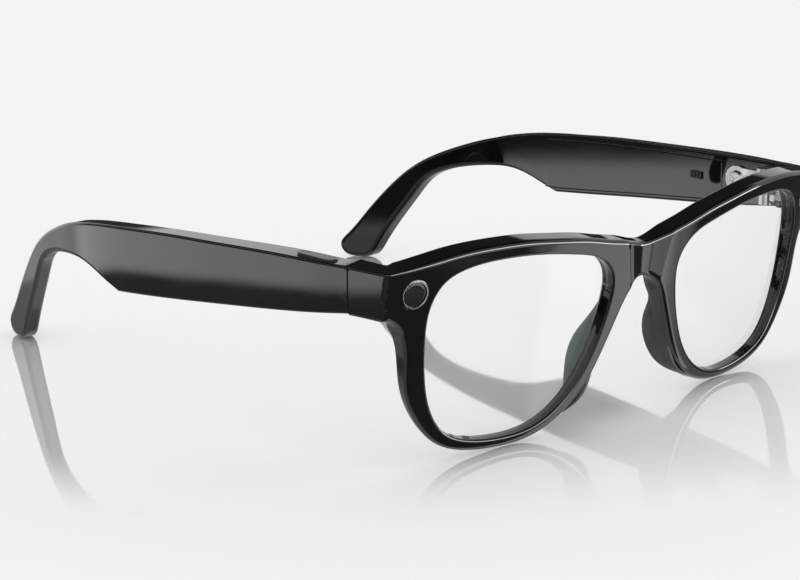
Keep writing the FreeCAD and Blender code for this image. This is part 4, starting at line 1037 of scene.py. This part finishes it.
def sphere(name, els, azs, radius, finish):
    """A sphere round the scene, and the elevation and azimuth of its points in degrees."""
    el, az = np.meshgrid(els, azs, indexing="ij")
    e, a = np.radians(el), np.radians(az)
    pts = np.stack([np.sin(a) * np.cos(e), -np.cos(a) * np.cos(e), np.sin(e)], -1) * radius
    n, m = el.shape
    faces = [(r * m + c, r * m + (c + 1) % m, (r + 1) * m + (c + 1) % m, (r + 1) * m + c)
             for r in range(n - 1) for c in range(m)]
    mesh = bpy.data.meshes.new(name)
    mesh.from_pydata(pts.reshape(-1, 3).tolist(), [], faces)
    mesh.materials.append(finish)
    obj = bpy.data.objects.new(name, mesh)
    bpy.context.scene.collection.objects.link(obj)
    return obj, el, az


def dome_glow(az, el):
    """Brightness of the room in a direction, in degrees."""
    glow = np.full(az.shape, ROOM)
    for az0, az1, el0, el1, level, soft, *side_soft in PANELS:
        off = np.abs((az - (az0 + az1) / 2 + 180.0) % 360.0 - 180.0)
        share = smoothstep(((az1 - az0) / 2 - off) / (side_soft[0] if side_soft else soft) + 0.5)
        share = share * smoothstep((el - el0) / soft + 0.5) * smoothstep((el1 - el) / soft + 0.5)
        glow = glow * (1 - share) + level * share
    return glow


def dome():
    """The room that the glasses mirror; it lights nothing else."""
    finish, nt, light = light_material("room_light")
    level = node(nt, "ShaderNodeAttribute")
    level.attribute_name = "glow"
    nt.links.new(level.outputs["Fac"], light.inputs["Strength"])
    els = np.concatenate([np.arange(*ring) for ring in DOME_RINGS])
    room, el, az = sphere("room", els, np.arange(-180, 180, 1.0), DOME_RADIUS, finish)
    glow = room.data.attributes.new("glow", "FLOAT", "POINT")
    glow.data.foreach_set("value", dome_glow(az, el).ravel().astype(np.float32))
    room.visible_camera = False
    room.visible_diffuse = False
    room.visible_transmission = False
    room.visible_shadow = False
    room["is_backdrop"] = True


def backdrop():
    """A pale sphere behind everything, as bright as the floor."""
    finish, _, light = light_material("backdrop_light")
    light.inputs["Color"].default_value = BACKDROP_COLOUR
    els, azs = np.arange(-90, 91, 10.0), np.arange(0, 360, 10.0)
    wall, _, _ = sphere("backdrop", els, azs, BACKDROP_RADIUS, finish)
    wall.visible_diffuse = False
    wall.visible_glossy = False
    wall.visible_shadow = False
    wall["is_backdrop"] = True


def studio():
    """Floor, white surroundings, and what the glasses and the camera see of the room."""
    me = bpy.data.meshes.new("floor")
    s = FLOOR_HALF
    me.from_pydata([(-s, -s, 0), (s, -s, 0), (s, s, 0), (-s, s, 0)], [], [(0, 1, 2, 3)])
    floor = bpy.data.objects.new("floor", me)
    bpy.context.scene.collection.objects.link(floor)
    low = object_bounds()[0]
    floor.location.z = low.z - FLOOR_GAP
    me.materials.append(floor_material())
    floor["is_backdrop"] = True
    floor.visible_glossy = False
    world = bpy.data.worlds.new("studio")
    world.use_nodes = True
    bg = world.node_tree.nodes["Background"]
    bg.inputs["Color"].default_value = (1.0, 1.0, 1.0, 1)
    bg.inputs["Strength"].default_value = 1.0
    bpy.context.scene.world = world
    bpy.context.scene.view_settings.view_transform = "Standard"
    dome()
    backdrop()


# ---------------------------------------------------------------- camera
VIEW_EL, VIEW_ROLL = 14.7837, -0.2929
CAMERA_AT = (-0.39507, -0.33604 + SHIFT_Y * MM, 0.16459 + SHIFT_Z * MM)
FOCAL_PIXELS, PHOTO_WIDTH, SENSOR = 2432, 800, 36


def camera():
    cam = bpy.data.cameras.new("camera")
    cam.lens = FOCAL_PIXELS * SENSOR / PHOTO_WIDTH
    cam.sensor_width = SENSOR
    cam.sensor_fit = "HORIZONTAL"
    cam.clip_start = 0.01
    o = bpy.data.objects.new("camera", cam)
    bpy.context.scene.collection.objects.link(o)
    az, el, roll = math.radians(VIEW_AZ), math.radians(VIEW_EL), math.radians(VIEW_ROLL)
    back = Vector((math.sin(az) * math.cos(el), -math.cos(az) * math.cos(el), math.sin(el)))
    right = (-back).cross(Vector((0, 0, 1))).normalized()
    up = right.cross(-back)
    rolled_right = right * math.cos(roll) + up * math.sin(roll)
    rolled_up = up * math.cos(roll) - right * math.sin(roll)
    o.location = CAMERA_AT
    o.rotation_mode = "QUATERNION"
    o.rotation_quaternion = Matrix((rolled_right, rolled_up, back)).transposed().to_quaternion()
    bpy.context.scene.camera = o


studio()
camera()
